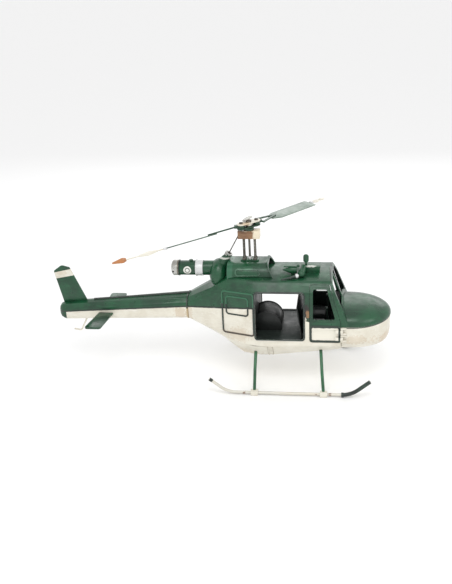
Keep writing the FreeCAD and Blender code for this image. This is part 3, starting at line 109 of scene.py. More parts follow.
@dataclass
class Graph:
    """Short calls that wire the nodes of one material."""

    tree: bpy.types.NodeTree
    spot: bpy.types.NodeSocket | None = None

    def node(self, kind: str, **settings: object) -> bpy.types.Node:
        """Adds a node and sets its properties."""
        made = self.tree.nodes.new(kind)
        for name, value in settings.items():
            setattr(made, name, value)
        return made

    def feed(self, socket: bpy.types.NodeSocket, value: object) -> None:
        """Links a socket, or sets it when the value is a number, a vector or a colour."""
        if isinstance(value, bpy.types.NodeSocket):
            self.tree.links.new(value, socket)
        else:
            socket.default_value = value

    def math(self, operation: str, *values: object) -> bpy.types.NodeSocket:
        """Output of a Math node."""
        made = self.node("ShaderNodeMath", operation=operation)
        for socket, value in zip(made.inputs, values):
            self.feed(socket, value)
        return made.outputs[0]

    def vector(self, operation: str, *values: object) -> bpy.types.NodeSocket:
        """Vector output of a Vector Math node, or its number for a dot product or a length."""
        made = self.node("ShaderNodeVectorMath", operation=operation)
        for socket, value in zip(made.inputs, values):
            self.feed(socket, value)
        return made.outputs["Value" if operation in ("DOT_PRODUCT", "LENGTH") else "Vector"]

    def place(self) -> bpy.types.NodeSocket:
        """Position on the object in the cabin's millimetres."""
        if self.spot is None:
            corner = self.node("ShaderNodeTexCoord").outputs["Object"]
            moved = self.vector("SUBTRACT", corner, tuple(DATUM))
            scaled = self.node("ShaderNodeVectorMath", operation="SCALE")
            self.feed(scaled.inputs[0], moved)
            scaled.inputs["Scale"].default_value = 1.0 / MM
            self.spot = scaled.outputs["Vector"]
        return self.spot

    def axis(self, name: str) -> bpy.types.NodeSocket:
        """One coordinate of the position."""
        parts = self.node("ShaderNodeSeparateXYZ")
        self.feed(parts.inputs[0], self.place())
        return parts.outputs[name]

    def noise(self, size: float, detail: float = 3.0, stretch: tuple[float, float, float] = (1, 1, 1)
              ) -> bpy.types.NodeSocket:
        """Noise with features of about the given size in millimetres.

        Args:
            size: length of one feature.
            detail: number of finer layers.
            stretch: how many times longer the features are along each axis.

        Returns:
            The noise value, from 0 to 1.
        """
        scaled = self.vector("DIVIDE", self.place(), stretch)
        made = self.node("ShaderNodeTexNoise")
        self.feed(made.inputs["Vector"], scaled)
        made.inputs["Scale"].default_value = 1.0 / size
        made.inputs["Detail"].default_value = detail
        made.inputs["Roughness"].default_value = 0.6
        return made.outputs["Fac"]

    def span(self, value: object, low: float, high: float, first: float = 0.0, last: float = 1.0
             ) -> bpy.types.NodeSocket:
        """Smooth step of a value between two limits.

        Args:
            value: what is measured.
            low: limit at which the step gives first.
            high: limit at which it gives last.
            first: output at the low limit.
            last: output at the high limit.

        Returns:
            The stepped value.
        """
        made = self.node("ShaderNodeMapRange", interpolation_type="SMOOTHSTEP")
        for socket, number in zip(made.inputs, (value, low, high, first, last)):
            self.feed(socket, number)
        return made.outputs[0]

    def blend(self, share: object, first: object, second: object) -> bpy.types.NodeSocket:
        """Colour between two colours.

        Args:
            share: how much of the second colour, from 0 to 1.
            first: one colour.
            second: the other colour.

        Returns:
            The mixed colour.
        """
        made = self.node("ShaderNodeMix", data_type="RGBA")
        self.feed(made.inputs["Factor"], share)
        self.feed(made.inputs[6], first)
        self.feed(made.inputs[7], second)
        return made.outputs[2]


@dataclass(frozen=True)
class Mark:
    """Something painted or worn over a finish, in one colour."""

    colour: Colour

    def mask(self, graph: Graph) -> bpy.types.NodeSocket:
        """Where the mark shows, from 0 to 1."""
        raise NotImplementedError


@dataclass(frozen=True)
class Stripe(Mark):
    """Brushed line along the side, level or sloping from one point to another."""

    start: tuple[float, float]
    end: tuple[float, float]
    half: float = 0.8
    filled_below: bool = False

    def mask(self, graph: Graph) -> bpy.types.NodeSocket:
        """The line, or all that lies below it."""
        slope = (self.end[1] - self.start[1]) / (self.end[0] - self.start[0])
        run = graph.math("MULTIPLY", graph.math("SUBTRACT", graph.axis("X"), self.start[0]), slope)
        height = graph.math("SUBTRACT", graph.math("SUBTRACT", graph.axis("Z"), self.start[1]), run)
        wobble = graph.math("MULTIPLY", graph.math("SUBTRACT", graph.noise(7.0), 0.5), 1.3 * self.half)
        height = graph.math("ADD", height, wobble)
        if self.filled_below:
            return graph.span(height, 0.15, -0.15)
        return graph.span(graph.math("ABSOLUTE", height), self.half + 0.15, self.half - 0.15)


@dataclass(frozen=True)
class Plate(Mark):
    """Rounded rectangle on the side, as a brushed outline or filled."""

    box: tuple[float, float, float, float]
    corner: float
    half: float = 0.0

    def mask(self, graph: Graph) -> bpy.types.NodeSocket:
        """Distance from the rounded rectangle, turned into a line or a filled shape."""
        left, right, low, high = self.box
        reach = []
        for name, first, last in (("X", left, right), ("Z", low, high)):
            away = graph.math("ABSOLUTE", graph.math("SUBTRACT", graph.axis(name), (first + last) / 2))
            reach.append(graph.math("SUBTRACT", away, (last - first) / 2 - self.corner))
        outside = [graph.math("MAXIMUM", value, 0.0) for value in reach]
        squares = [graph.math("POWER", value, 2.0) for value in outside]
        round_part = graph.math("SQRT", graph.math("ADD", *squares))
        flat_part = graph.math("MINIMUM", graph.math("MAXIMUM", *reach), 0.0)
        distance = graph.math("SUBTRACT", graph.math("ADD", round_part, flat_part), self.corner)
        wobble = graph.math("MULTIPLY", graph.math("SUBTRACT", graph.noise(5.0), 0.5), 0.9)
        distance = graph.math("ADD", distance, wobble)
        if self.half:
            distance = graph.math("SUBTRACT", graph.math("ABSOLUTE", distance), self.half)
        return graph.span(distance, 0.15, -0.15)


@dataclass(frozen=True)
class Spot(Mark):
    """Worn or stained spot with a ragged edge."""

    centre: tuple[float, float, float]
    radii: tuple[float, float, float]
    ragged: float = 0.8
    strength: float = 1.0

    def mask(self, graph: Graph) -> bpy.types.NodeSocket:
        """Nearness to the centre, broken up by noise."""
        away = graph.vector("DIVIDE", graph.vector("SUBTRACT", graph.place(), self.centre), self.radii)
        length = graph.vector("LENGTH", away)
        broken = graph.math("MULTIPLY", graph.math("SUBTRACT", graph.noise(2.4, 5.0), 0.5), 2 * self.ragged)
        return graph.span(graph.math("ADD", length, broken), 1.0, 0.75, 0.0, self.strength)


@dataclass(frozen=True)
class Slice(Mark):
    """All that lies between two places along one axis."""

    axis: str
    low: float
    high: float
    soft: float = 0.2

    def mask(self, graph: Graph) -> bpy.types.NodeSocket:
        """Inside both limits."""
        wobble = graph.math("MULTIPLY", graph.math("SUBTRACT", graph.noise(3.0), 0.5), 3 * self.soft)
        place = graph.math("ADD", graph.axis(self.axis), wobble)
        rise = graph.span(place, self.low - self.soft, self.low + self.soft)
        fall = graph.span(place, self.high + self.soft, self.high - self.soft)
        return graph.math("MULTIPLY", rise, fall)


@dataclass(frozen=True)
class Inside(Mark):
    """Faces of a sheet that are turned to the middle of the cabin."""

    middle: float = 85.0

    def mask(self, graph: Graph) -> bpy.types.NodeSocket:
        """Faces whose normal points back to the long axis of the hull."""
        normal = graph.node("ShaderNodeTexCoord").outputs["Normal"]
        outward = graph.vector("SUBTRACT", graph.place(), (0.0, 0.0, self.middle))
        outward = graph.vector("MULTIPLY", outward, (0.0, 1.0, 1.0))
        outward = graph.vector("NORMALIZE", outward)
        return graph.span(graph.vector("DOT_PRODUCT", normal, outward), -0.25, -0.45)


@dataclass(frozen=True)
class Finish:
    """A hand-brushed or bare surface with its colour drift, rubbed edges that partly stand as painted
    highlights, dirt and painted shade in its corners, gloss and relief.
    """

    name: str
    body: Colour
    shade: Colour
    light: Colour
    metallic: float = 0.0
    roughness: float = 0.36
    streak: float = 0.5
    # Colour and amount of the corner darkening, part dirt and part painted shade.
    grime_and_shade_colour: Colour = (0.01, 0.012, 0.008, 1.0)
    grime_and_shade: float = 0.55
    # Colour and amount of the rubbed edges, partly painted edge highlights; the amount also sets the darker
    # specks.
    wear_and_highlight_colour: Colour = (0.2, 0.2, 0.19, 1.0)
    wear_and_highlight: float = 0.35
    relief: float = 1.0
    coat: float = 0.25
    marks: tuple[Mark, ...] = ()

    def material(self) -> bpy.types.Material:
        """The material of this finish, built once."""
        known = bpy.data.materials.get(self.name)
        if known is not None:
            return known
        made = bpy.data.materials.new(self.name)
        made.use_nodes = True
        made.node_tree.nodes.clear()
        graph = Graph(made.node_tree)
        shader = graph.node("ShaderNodeBsdfPrincipled")
        graph.feed(shader.inputs["Base Color"], self.colour(graph))
        graph.feed(shader.inputs["Roughness"], self.gloss(graph))
        graph.feed(shader.inputs["Normal"], self.bumps(graph))
        shader.inputs["Metallic"].default_value = self.metallic
        shader.inputs["Coat Weight"].default_value = self.coat
        shader.inputs["Coat Roughness"].default_value = 0.18
        output = graph.node("ShaderNodeOutputMaterial")
        made.node_tree.links.new(shader.outputs[0], output.inputs["Surface"])
        return made

    def colour(self, graph: Graph) -> bpy.types.NodeSocket:
        """Colour with drift, brush streaks, marks, dirt and painted shade in the corners, and worn edges that
        partly stand as painted highlights.
        """
        drift = graph.span(graph.noise(24.0, 4.0), 0.35, 0.68)
        colour = graph.blend(drift, self.shade, self.body)
        streaks = graph.span(graph.noise(1.6, 4.0, (9.0, 1.0, 1.0)), 0.5, 0.78, 0.0, self.streak)
        colour = graph.blend(streaks, colour, self.light)
        specks = graph.span(graph.noise(1.1, 2.0), 0.70, 0.78, 0.0, self.wear_and_highlight)
        colour = graph.blend(specks, colour, self.shade)
        for mark in self.marks:
            colour = graph.blend(mark.mask(graph), colour, mark.colour)
        # Painted shade: corners and creases found by ambient occlusion are darkened, partly as dirt.
        corner = graph.node("ShaderNodeAmbientOcclusion", samples=6, only_local=False)
        corner.inputs["Distance"].default_value = 4.0 * MM
        dark = graph.span(corner.outputs["AO"], 0.75, 0.25, 0.0, self.grime_and_shade)
        dark = graph.math("MULTIPLY", dark, graph.span(graph.noise(5.0), 0.25, 0.6, 0.5, 1.0))
        colour = graph.blend(dark, colour, self.grime_and_shade_colour)
        return graph.blend(self.worn_and_highlit_edge(graph), colour, self.wear_and_highlight_colour)

    def worn_and_highlit_edge(self, graph: Graph) -> bpy.types.NodeSocket:
        """Edges where the paint has rubbed through; on most finishes their pale colour also stands as a
        painted highlight.
        """
        rounded = graph.node("ShaderNodeBevel", samples=4)
        rounded.inputs["Radius"].default_value = 0.45 * MM
        straight = graph.node("ShaderNodeNewGeometry").outputs["Normal"]
        turned = graph.vector("DOT_PRODUCT", rounded.outputs[0], straight)
        edge = graph.span(turned, 0.97, 0.80)
        rubbed = graph.span(graph.noise(3.0, 5.0), 0.48, 0.60, 0.0, self.wear_and_highlight)
        return graph.math("MULTIPLY", edge, rubbed)

    def gloss(self, graph: Graph) -> bpy.types.NodeSocket:
        """Roughness that drifts with handling."""
        return graph.span(graph.noise(9.0, 5.0), 0.3, 0.7, self.roughness - 0.08, self.roughness + 0.14)

    def bumps(self, graph: Graph) -> bpy.types.NodeSocket:
        """Hand-beaten dents under a brushed skin of paint."""
        dents = graph.node("ShaderNodeBump")
        dents.inputs["Distance"].default_value = 0.35 * MM * self.relief
        graph.feed(dents.inputs["Height"], graph.noise(11.0, 1.0))
        brushed = graph.node("ShaderNodeBump")
        brushed.inputs["Distance"].default_value = 0.05 * MM * self.relief
        graph.feed(brushed.inputs["Height"], graph.noise(1.2, 3.0, (6.0, 1.0, 1.0)))
        graph.feed(brushed.inputs["Normal"], dents.outputs[0])
        return brushed.outputs[0]


INK = tone(36, 50, 42)
# Near black used as painted shade deep inside openings.
DEEP_SHADE = tone(14, 22, 18)
RUST = tone(112, 72, 44)
TEA = tone(186, 158, 122)


class Coat(Enum):
    """Finishes of the toy."""

    GREEN = Finish("green_enamel", tone(12, 76, 44), tone(7, 54, 32), tone(36, 100, 64),
                   wear_and_highlight_colour=tone(120, 140, 122), wear_and_highlight=0.45, roughness=0.34)
    CREAM = Finish("cream_enamel", tone(226, 222, 208), tone(212, 206, 190), tone(240, 238, 232),
                   grime_and_shade_colour=tone(104, 86, 64), grime_and_shade=0.45, wear_and_highlight_colour=tone(120, 96, 72), wear_and_highlight=0.3)
    LINE = Finish("outline_enamel", tone(34, 50, 42), tone(20, 30, 26), tone(74, 92, 82),
                  wear_and_highlight_colour=tone(120, 130, 120), wear_and_highlight=0.5, roughness=0.4)
    INNER = Finish("interior_enamel", tone(13, 22, 18), tone(7, 12, 10), tone(30, 40, 35),
                   roughness=0.5, coat=0.1, wear_and_highlight=0.2)
    FLOOR = Finish("floor_enamel", tone(46, 55, 51), tone(30, 38, 34), tone(76, 84, 79),
                   roughness=0.45, coat=0.1, wear_and_highlight=0.2)
    STEEL = Finish("dull_steel", tone(126, 124, 116), tone(74, 70, 62), tone(186, 184, 176),
                   metallic=0.75, roughness=0.42, grime_and_shade_colour=RUST, wear_and_highlight_colour=tone(210, 208, 200),
                   coat=0.0, relief=0.6)
    SILVER = Finish("silver_paint", tone(206, 206, 202), tone(150, 148, 142), tone(240, 240, 238),
                    metallic=0.65, roughness=0.3, grime_and_shade_colour=tone(52, 48, 42), coat=0.0,
                    wear_and_highlight_colour=tone(92, 80, 64), relief=0.8)
    BROWN = Finish("brown_block", tone(158, 118, 82), tone(112, 78, 50), tone(206, 178, 142),
                   grime_and_shade_colour=tone(50, 34, 22), wear_and_highlight_colour=tone(226, 216, 196), wear_and_highlight=0.45)
    ORANGE = Finish("orange_tip", tone(178, 116, 66), tone(128, 78, 42), tone(214, 160, 110),
                    wear_and_highlight_colour=tone(226, 206, 176), wear_and_highlight=0.6)
    # Painted sheen: a grey-green for the far blade, whose green gloss catches the light.
    GREEN_SHEEN = Finish("blade_painted_sheen", tone(132, 148, 136), tone(96, 116, 102), tone(176, 186, 176),
                  wear_and_highlight_colour=tone(224, 224, 214), wear_and_highlight=0.5)
    WHITE = Finish("white_mark", tone(236, 236, 230), tone(214, 214, 204), tone(250, 250, 248),
                   wear_and_highlight=0.25, relief=0.5)


def dressed(coat: Coat, name: str, *marks: Mark) -> Finish:
    """A coat under another name, with marks painted over it."""
    return replace(coat.value, name=name, marks=marks)


def body_of(node: str) -> str:
    """The body that a node belongs to."""
    return frame["nodes"][node]["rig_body"]


def set_down(name: str, shape: bmesh.types.BMesh, finish: Finish, node: str, stands_for: bool = True,
             sharp: float = 38.0) -> bpy.types.Object:
    """Makes a visible piece from a mesh.

    Args:
        name: the piece's name.
        shape: its mesh, in place, which is freed.
        finish: its finish.
        node: the CAD node that gives its body.
        stands_for: whether it replaces that node.
        sharp: angle in degrees past which an edge stays crisp.

    Returns:
        The new object.
    """
    mesh = bpy.data.meshes.new(name)
    shape.to_mesh(mesh)
    shape.free()
    mesh.shade_smooth()
    mesh.set_sharp_from_angle(angle=math.radians(sharp))
    mesh.materials.clear()
    mesh.materials.append(finish.material())
    piece = bpy.data.objects.new(name, mesh)
    bpy.context.scene.collection.objects.link(piece)
    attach(piece, body_of(node))
    if stands_for:
        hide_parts(node)
    LOG.info("piece %s: %d faces", name, len(mesh.polygons))
    return piece


def merged(node: str) -> bmesh.types.BMesh:
    """Copy of a node's mesh with its loose triangles joined up."""
    shape = bmesh.new()
    shape.from_mesh(frame["nodes"][node].data)
    bmesh.ops.remove_doubles(shape, verts=shape.verts, dist=0.002 * MM)
    return shape


def soften(shape: bmesh.types.BMesh, width: float, angle: float = 32.0) -> bmesh.types.BMesh:
    """Rolls the hard edges of a merged mesh over.

    Args:
        shape: the mesh, which is changed.
        width: how far an edge is rolled over, in millimetres.
        angle: angle in degrees past which an edge is hard.

    Returns:
        The same mesh.
    """
    bmesh.ops.dissolve_limit(shape, angle_limit=math.radians(0.4), verts=shape.verts, edges=shape.edges,
                             delimit={"NORMAL"})
    hard = [edge for edge in shape.edges
            if len(edge.link_faces) == 2 and edge.calc_face_angle(0.0) > math.radians(angle)]
    bmesh.ops.bevel(shape, geom=hard, offset=width * MM, offset_type="OFFSET", segments=2, profile=0.5,
                    affect="EDGES", clamp_overlap=True, material=-1)
    bmesh.ops.triangulate(shape, faces=[face for face in shape.faces if len(face.verts) > 4])
    return shape


def islands(node: str) -> list[bmesh.types.BMesh]:
    """The separate solids of a node, each as a merged mesh."""
    whole = merged(node)
    whole.verts.index_update()
    groups: list[set[int]] = []
    seen: set[int] = set()
    for first in whole.verts:
        if first.index in seen:
            continue
        group = {first.index}
        queue = [first]
        while queue:
            for edge in queue.pop().link_edges:
                for vert in edge.verts:
                    if vert.index not in group:
                        group.add(vert.index)
                        queue.append(vert)
        seen |= group
        groups.append(group)
    parts = []
    for group in groups:
        part = whole.copy()
        part.verts.ensure_lookup_table()
        others = [vert for vert in part.verts if vert.index not in group]
        bmesh.ops.delete(part, geom=others, context="VERTS")
        parts.append(part)
    whole.free()
    return parts


def centre(shape: bmesh.types.BMesh) -> Vector:
    """Middle of a mesh's box, in the cabin's millimetres."""
    low = Vector([min(vert.co[axis] for vert in shape.verts) for axis in range(3)])
    high = Vector([max(vert.co[axis] for vert in shape.verts) for axis in range(3)])
    return ((low + high) / 2 - DATUM) / MM


def plain(node: str, finish: Finish, width: float = 0.22, sharp: float = 38.0) -> bpy.types.Object:
    """A node's own shape with its edges rolled over and a finish."""
    return set_down(node + "_piece", soften(merged(node), width), finish, node, sharp=sharp)


def sorted_out(node: str, choose: Callable[[Vector], tuple[str, Finish]], width: float = 0.15) -> None:
    """Sets down each solid of a node as a piece of its own.

    Args:
        node: the CAD node.
        choose: gives a name and a finish for the middle of a solid.
        width: how far its edges are rolled over.
    """
    for part in islands(node):
        name, finish = choose(centre(part))
        set_down(name, soften(part, width), finish, node)


def side(middle: Vector) -> str:
    """Which side of the toy a point is on."""
    return "right" if middle.y < 0 else "left"


def wire(name: str, points: list[Vector], radius: float, finish: Finish, node: str) -> bpy.types.Object:
    """A round bead or wire through the given points.

    Args:
        name: the piece's name.
        points: places along it, in metres.
        radius: in millimetres.
        finish: its finish.
        node: the CAD node that it belongs to.

    Returns:
        The piece.
    """
    curve = bpy.data.curves.new(name + "_path", "CURVE")
    curve.dimensions = "3D"
    curve.bevel_depth = radius * MM
    curve.bevel_resolution = 3
    curve.use_fill_caps = True
    spline = curve.splines.new("POLY")
    spline.points.add(len(points) - 1)
    for point, place in zip(spline.points, points):
        point.co = (*place, 1.0)
    holder = bpy.data.objects.new(name + "_path", curve)
    bpy.context.scene.collection.objects.link(holder)
    mesh = bpy.data.meshes.new_from_object(holder.evaluated_get(bpy.context.evaluated_depsgraph_get()))
    bpy.data.objects.remove(holder)
    shape = bmesh.new()
    shape.from_mesh(mesh)
    bmesh.ops.recalc_face_normals(shape, faces=shape.faces)
    return set_down(name, shape, finish, node, stands_for=False, sharp=60.0)


def belt_height(x: float) -> float:
    """Height of the colour line on the boom, the cone and the rear panel."""
    for (first_x, first_z), (last_x, last_z) in zip(BELT_POINTS, BELT_POINTS[1:]):
        if x <= last_x:
            return first_z + (last_z - first_z) * (x - first_x) / (last_x - first_x)
    return BELT_POINTS[-1][1]


@dataclass
class Fuselage:
    """Cabin sheets, posts, nose and their painted lines."""

    nose_turns: int = 132
    nose_rows: int = 40
    nose_front: float = 54.0            # from the door to the tip
    nose_straight: float = 9.0          # behind the round part
    straight_share: float = 0.12        # of a quarter turn, spent behind the round part
    nose_half: float = 38.5
    nose_depth: float = 32.7
    nose_inset: float = 0.4
    belt_rise: float = 1.7              # the colour line climbs by this much to the tip
    nose_door: float = 135.0            # where the nose meets the doors
    sheet: float = 1.1                  # thickness of the nose's tin
    crease_line: tuple[float, float, float] = (10.7, 13.5, 709.0)   # weights across, down and their sum
    cover_power: float = 2.35
    belt_radius: float = 0.75
    belt_sink: float = 0.35
    skins: list[str] = field(default_factory=lambda: [
        "boom_lower", "boom_upper_half", "tail_cone_lower", "tail_cone_upper",
        "lower_side_panels", "upper_side_panels"])

    def dress(self) -> None:
        """Gives the cabin's sheets their colours, lines and stains."""
        inner = Inside(tone(20, 30, 26))
        belt = Stripe(INK, BELT_POINTS[1], BELT_POINTS[2], 0.9)
        tea = [Spot(TEA, (150.0 + 14 * step, -34.0 + 9 * step, 60.0 - 3 * step), (13, 9, 7), 1.2, 0.28)
               for step in range(3)]
        stain = Spot(TEA, (22, -34, 62), (16, 9, 9), 1.2, 0.25)
        lower = dressed(Coat.CREAM, "cream_side", belt, stain, inner)
        upper = dressed(Coat.GREEN, "green_side", belt, inner)
        plain("lower_side_panels", lower)
        plain("upper_side_panels", upper)
        seams = [Slice(tone(150, 138, 116), "X", start, start + 0.5, 0.1) for start in (54.6, 60.4)]
        plain("belly_pan", dressed(Coat.CREAM, "cream_belly", *seams,
                                   Spot(TEA, (30, -16, 36), (22, 22, 8), 1.2, 0.25), inner))
        plain("roof_panel", dressed(Coat.GREEN, "green_roof", inner), sharp=24.0)
        plain("tail_cone_upper", dressed(Coat.GREEN, "green_cone", belt, inner))
        plain("tail_cone_lower", dressed(Coat.CREAM, "cream_cone", belt, inner,
                                         Slice(tone(150, 120, 80), "X", -36.0, -35.2, 0.25),
                                         Spot(TEA, (-34, -15, 76), (4, 12, 14), 1.2, 0.3)))
        self.smooth_cover(dressed(Coat.GREEN, "green_nose"))
        top_line = Slice(INK, "X", 90.0, 124.2, 0.3)
        plain("windscreen", dressed(Coat.GREEN, "green_screen", top_line, inner), 0.2)
        sorted_out("cabin_posts", self.post)
        self.smooth_nose(dressed(Coat.CREAM, "cream_nose", *tea,
                                 Spot(TEA, (186, -12, 55), (14, 22, 8), 1.2, 0.25)))
        self.frames()
        self.belt()

    @cached_property
    def cover_height(self) -> float:
        """Height of the domed nose cover in millimetres."""
        low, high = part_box("nose_cover")
        return (high.z - low.z) / MM

    def post(self, middle: Vector) -> tuple[str, Finish]:
        """Name and finish of one cabin post."""
        inner = Inside(tone(20, 30, 26))
        if middle.x > 110:
            return side(middle) + "_screen_post", dressed(Coat.GREEN, "green_post", inner)
        cream = Stripe(tone(226, 222, 206), (90.0, 84.0), (104.0, 80.0), 0.5, True)
        worn = [Spot(tone(34, 30, 26), (98, y, 92), (6, 12, 9), 0.7) for y in (-38, 38)]
        bare = [Spot(tone(136, 104, 72), (99.5, y, 90), (2.6, 10, 6), 1.0) for y in (-38, 38)]
        flakes = [Spot(tone(206, 200, 186), (96.5, y, 84), (1.8, 10, 3), 1.0) for y in (-38, 38)]
        finish = dressed(Coat.GREEN, "worn_post", cream, *worn, *bare, *flakes, inner)
        return side(middle) + "_door_post", finish

    def sweep(self, turn: float) -> tuple[float, float]:
        """Where a turn round the nose lies.

        Args:
            turn: from -1 at the right door edge, round the tip, to 1 at the left one.

        Returns:
            The angle round the tip in radians, and how far behind the round part it is.
        """
        reached = turn * (1 + self.straight_share)
        round_part = max(-1.0, min(1.0, reached))
        back = (abs(reached) - abs(round_part)) / self.straight_share * self.nose_straight
        return round_part * math.pi / 2, back

    def cover_point(self, turn: float, rise: float) -> Vector:
        """A place on the domed nose cover.

        Args:
            turn: from -1 at the right door edge, round the tip, to 1 at the left one.
            rise: from 0 at the cover's edge to 1 at its top.

        Returns:
            The place in metres.
        """
        angle, back = self.sweep(turn)
        tilt = rise * math.pi / 2
        out = max(0.0, math.cos(tilt)) ** (2 / self.cover_power)
        lift = math.sin(tilt) ** (2 / self.cover_power)
        reach = self.nose_front - self.nose_straight
        x = self.nose_door + self.nose_straight - back + reach * math.cos(angle) * out
        foot = self.belt_rise * math.cos(angle) ** 2 * (1 - lift)
        return at(x, self.nose_half * math.sin(angle) * out, NOSE_BELT + foot + self.cover_height * lift)

    def smooth_cover(self, finish: Finish) -> None:
        """Domed cover of the nose, fuller at the shoulders than a plain dome."""
        shape = bmesh.new()
        bmesh.ops.create_grid(shape, x_segments=self.nose_turns, y_segments=self.nose_rows, size=1.0)
        for vert in shape.verts:
            vert.co = self.cover_point(vert.co.x, (vert.co.y + 1) / 2)
        self.close_sheet(shape, "nose_cover", finish)

    def close_sheet(self, shape: bmesh.types.BMesh, node: str, finish: Finish) -> None:
        """Merges a beaten sheet's pole, turns its faces out and gives it a thickness."""
        bmesh.ops.remove_doubles(shape, verts=shape.verts, dist=0.02 * MM)
        bmesh.ops.recalc_face_normals(shape, faces=shape.faces)
        tip = max(shape.faces, key=lambda face: face.calc_center_median().x)
        if tip.normal.x < 0:
            bmesh.ops.reverse_faces(shape, faces=shape.faces)
        piece = set_down(node + "_piece", shape, finish, node, sharp=80.0)
        wall = piece.modifiers.new("wall", "SOLIDIFY")
        wall.thickness = self.sheet * MM
        wall.offset = -1.0

    def nose_point(self, turn: float, drop: float) -> Vector:
        """A place on the lower nose.

        Args:
            turn: from -1 at the right door edge, round the tip, to 1 at the left one.
            drop: from 0 at the belt to 1 under the middle.

        Returns:
            The place in metres.
        """
        angle, back = self.sweep(turn)
        front = abs(math.cos(angle)) ** 1.5
        power = 14.0 - 8.5 * front
        tilt = max(1e-4, min(1 - 1e-4, drop)) * math.pi / 2
        wall = 1 / math.cos(tilt)
        floor = 1 / math.sin(tilt)
        across, down, whole = self.crease_line
        weighed = across * self.nose_half * math.cos(tilt) + down * self.nose_depth * math.sin(tilt)
        crease = whole / weighed
        total = wall ** -power + floor ** -power + (1 - front) * crease ** -power
        length = total ** (-1 / power)
        out = length * math.cos(tilt)
        half = self.nose_half - self.nose_inset * front
        reach = self.nose_front - self.nose_straight - self.nose_inset
        x = self.nose_door + self.nose_straight - back + reach * math.cos(angle) * out
        fall = length * math.sin(tilt)
        foot = self.belt_rise * math.cos(angle) ** 2 * (1 - fall)
        return at(x, half * math.sin(angle) * out, NOSE_BELT + foot - self.nose_depth * fall)

    def smooth_nose(self, finish: Finish) -> None:
        """Lower nose as one smoothly beaten sheet."""
        shape = bmesh.new()
        bmesh.ops.create_grid(shape, x_segments=self.nose_turns, y_segments=self.nose_rows, size=1.0)
        for vert in shape.verts:
            vert.co = self.nose_point(vert.co.x, (vert.co.y + 1) / 2)
        self.close_sheet(shape, "nose_lower", finish)

    def frames(self) -> None:
        """Beaded frames of the cabin openings and the panel outlines."""
        # Painted highlights: the frames' pale rubbed edges stand for light catching them.
        frame = dressed(Coat.LINE, "frame_line_painted_highlight", Slice(tone(176, 180, 172), "Z", 57.0, 58.2, 0.1))
        plain("cabin_frames", replace(frame, wear_and_highlight=0.8, wear_and_highlight_colour=tone(150, 162, 150)))

        def choose(middle: Vector) -> tuple[str, Finish]:
            """Straps are cream, and the panel and window outlines dark below the belt."""
            if middle.x > 50:
                number = 1 if middle.x < 58 else 2
                return f"{side(middle)}_belly_strap_{number}", Coat.CREAM.value
            green = tone(38, 96, 66)
            above = Slice(green, "Z", 96.8, 120.0, 0.2)
            if middle.z > 90:
                return side(middle) + "_window_emboss", dressed(Coat.LINE, "window_line", above)
            pale = Slice(tone(70, 60, 50), "Z", 61.0, 66.0, 0.6)
            return side(middle) + "_panel_outline", dressed(Coat.LINE, "panel_line", above, pale)

        sorted_out("outlines", choose, 0.3)

    def belt(self) -> None:
        """Raised painted line between the two colours, from the tail to the nose."""
        skins = []
        for name in self.skins:
            shape = merged(name)
            skins.append(BVHTree.FromBMesh(shape))
            shape.free()
        for word, sign in (("right", -1), ("left", 1)):
            points = []
            for step in range(75):
                x = -180.0 + step * (PANEL_REAR + 180.0) / 74
                start = at(x, sign * 80.0, belt_height(x))
                hits = [tree.ray_cast(start, Vector((0, -sign, 0)))[0] for tree in skins]
                found = [hit for hit in hits if hit is not None]
                if found:
                    nearest = min(found, key=lambda hit: (hit - start).length)
                    points.append(nearest + Vector((0, -sign * self.belt_sink * MM, 0)))
            wire(word + "_belt_line", points, self.belt_radius, Coat.LINE.value, "lower_side_panels")
        points = []
        for step in range(97):
            spot = self.nose_point(-1 + step / 48, 0.0)
            inward = (at(140.0, 0.0, 0.0) - spot) * Vector((1, 1, 0))
            points.append(spot + inward.normalized() * 0.8 * MM - Vector((0, 0, 0.75 * MM)))
        wire("nose_belt_line", points, 0.95, Coat.LINE.value, "nose_lower")


@dataclass
class Doors:
    """The two hinged cockpit doors and their pins."""

    window: tuple[float, float, float, float] = (104.0, 131.0, 82.5, 118.5)

    def dress(self) -> None:
        """Green doors with a cream lower panel in a dark outline."""
        marks = (Plate(tone(228, 224, 210), DOOR_PANEL, 2.6), Plate(INK, DOOR_PANEL, 2.6, 1.15),
                 Stripe(tone(12, 44, 30), (100.0, 77.6), (136.0, 76.6), 0.45),
                 Plate(tone(222, 217, 202), (134.4, 144.0, 50.0, 75.4), 0.1),
                 Inside(tone(20, 30, 26)))
        finish = dressed(Coat.GREEN, "green_door", *marks)
        for word in ("right", "left"):
            plain(word + "_cockpit_door", finish, 0.18)
        sorted_out("door_hinges", self.hinge, 0.1)

    def hinge(self, middle: Vector) -> tuple[str, Finish]:
        """Name and finish of one hinge pin with its ears."""
        level = "lower" if middle.z < 66.5 else "upper"
        clean = replace(Coat.CREAM.value, name="hinge_enamel", grime_and_shade=0.0, wear_and_highlight=0.0)
        return f"{side(middle)}_{level}_hinge_pin", clean


@dataclass
class Interior:
    """What shows through the open cabin."""

    def dress(self) -> None:
        """Dark paint inside, with a greyer floor."""
        plain("cabin_floor", Coat.FLOOR.value, 0.15)
        plain("rear_bulkhead", Coat.INNER.value)
        # Painted shade: the drum's body is near black because it sits deep in the cabin; its pale rim comes
        # from the rubbed edges.
        plain("drum", replace(Coat.INNER.value, name="drum_painted_shade", body=DEEP_SHADE, light=tone(30, 38, 34),
                              wear_and_highlight=0.5, wear_and_highlight_colour=tone(150, 152, 144)), 0.3)
        plain("front_partition", replace(Coat.INNER.value, name="partition_enamel", wear_and_highlight=0.9,
                                         wear_and_highlight_colour=tone(186, 186, 170)), 0.2)
        sorted_out("seats", lambda middle: (side(middle) + "_seat", Coat.INNER.value), 0.9)
        sorted_out("controls", self.control, 0.35)

    def control(self, middle: Vector) -> tuple[str, Finish]:
        """Name and finish of the instrument box or of one stick."""
        if middle.x > 126:
            return "instrument_box", Coat.INNER.value
        return side(middle) + "_stick", Coat.LINE.value


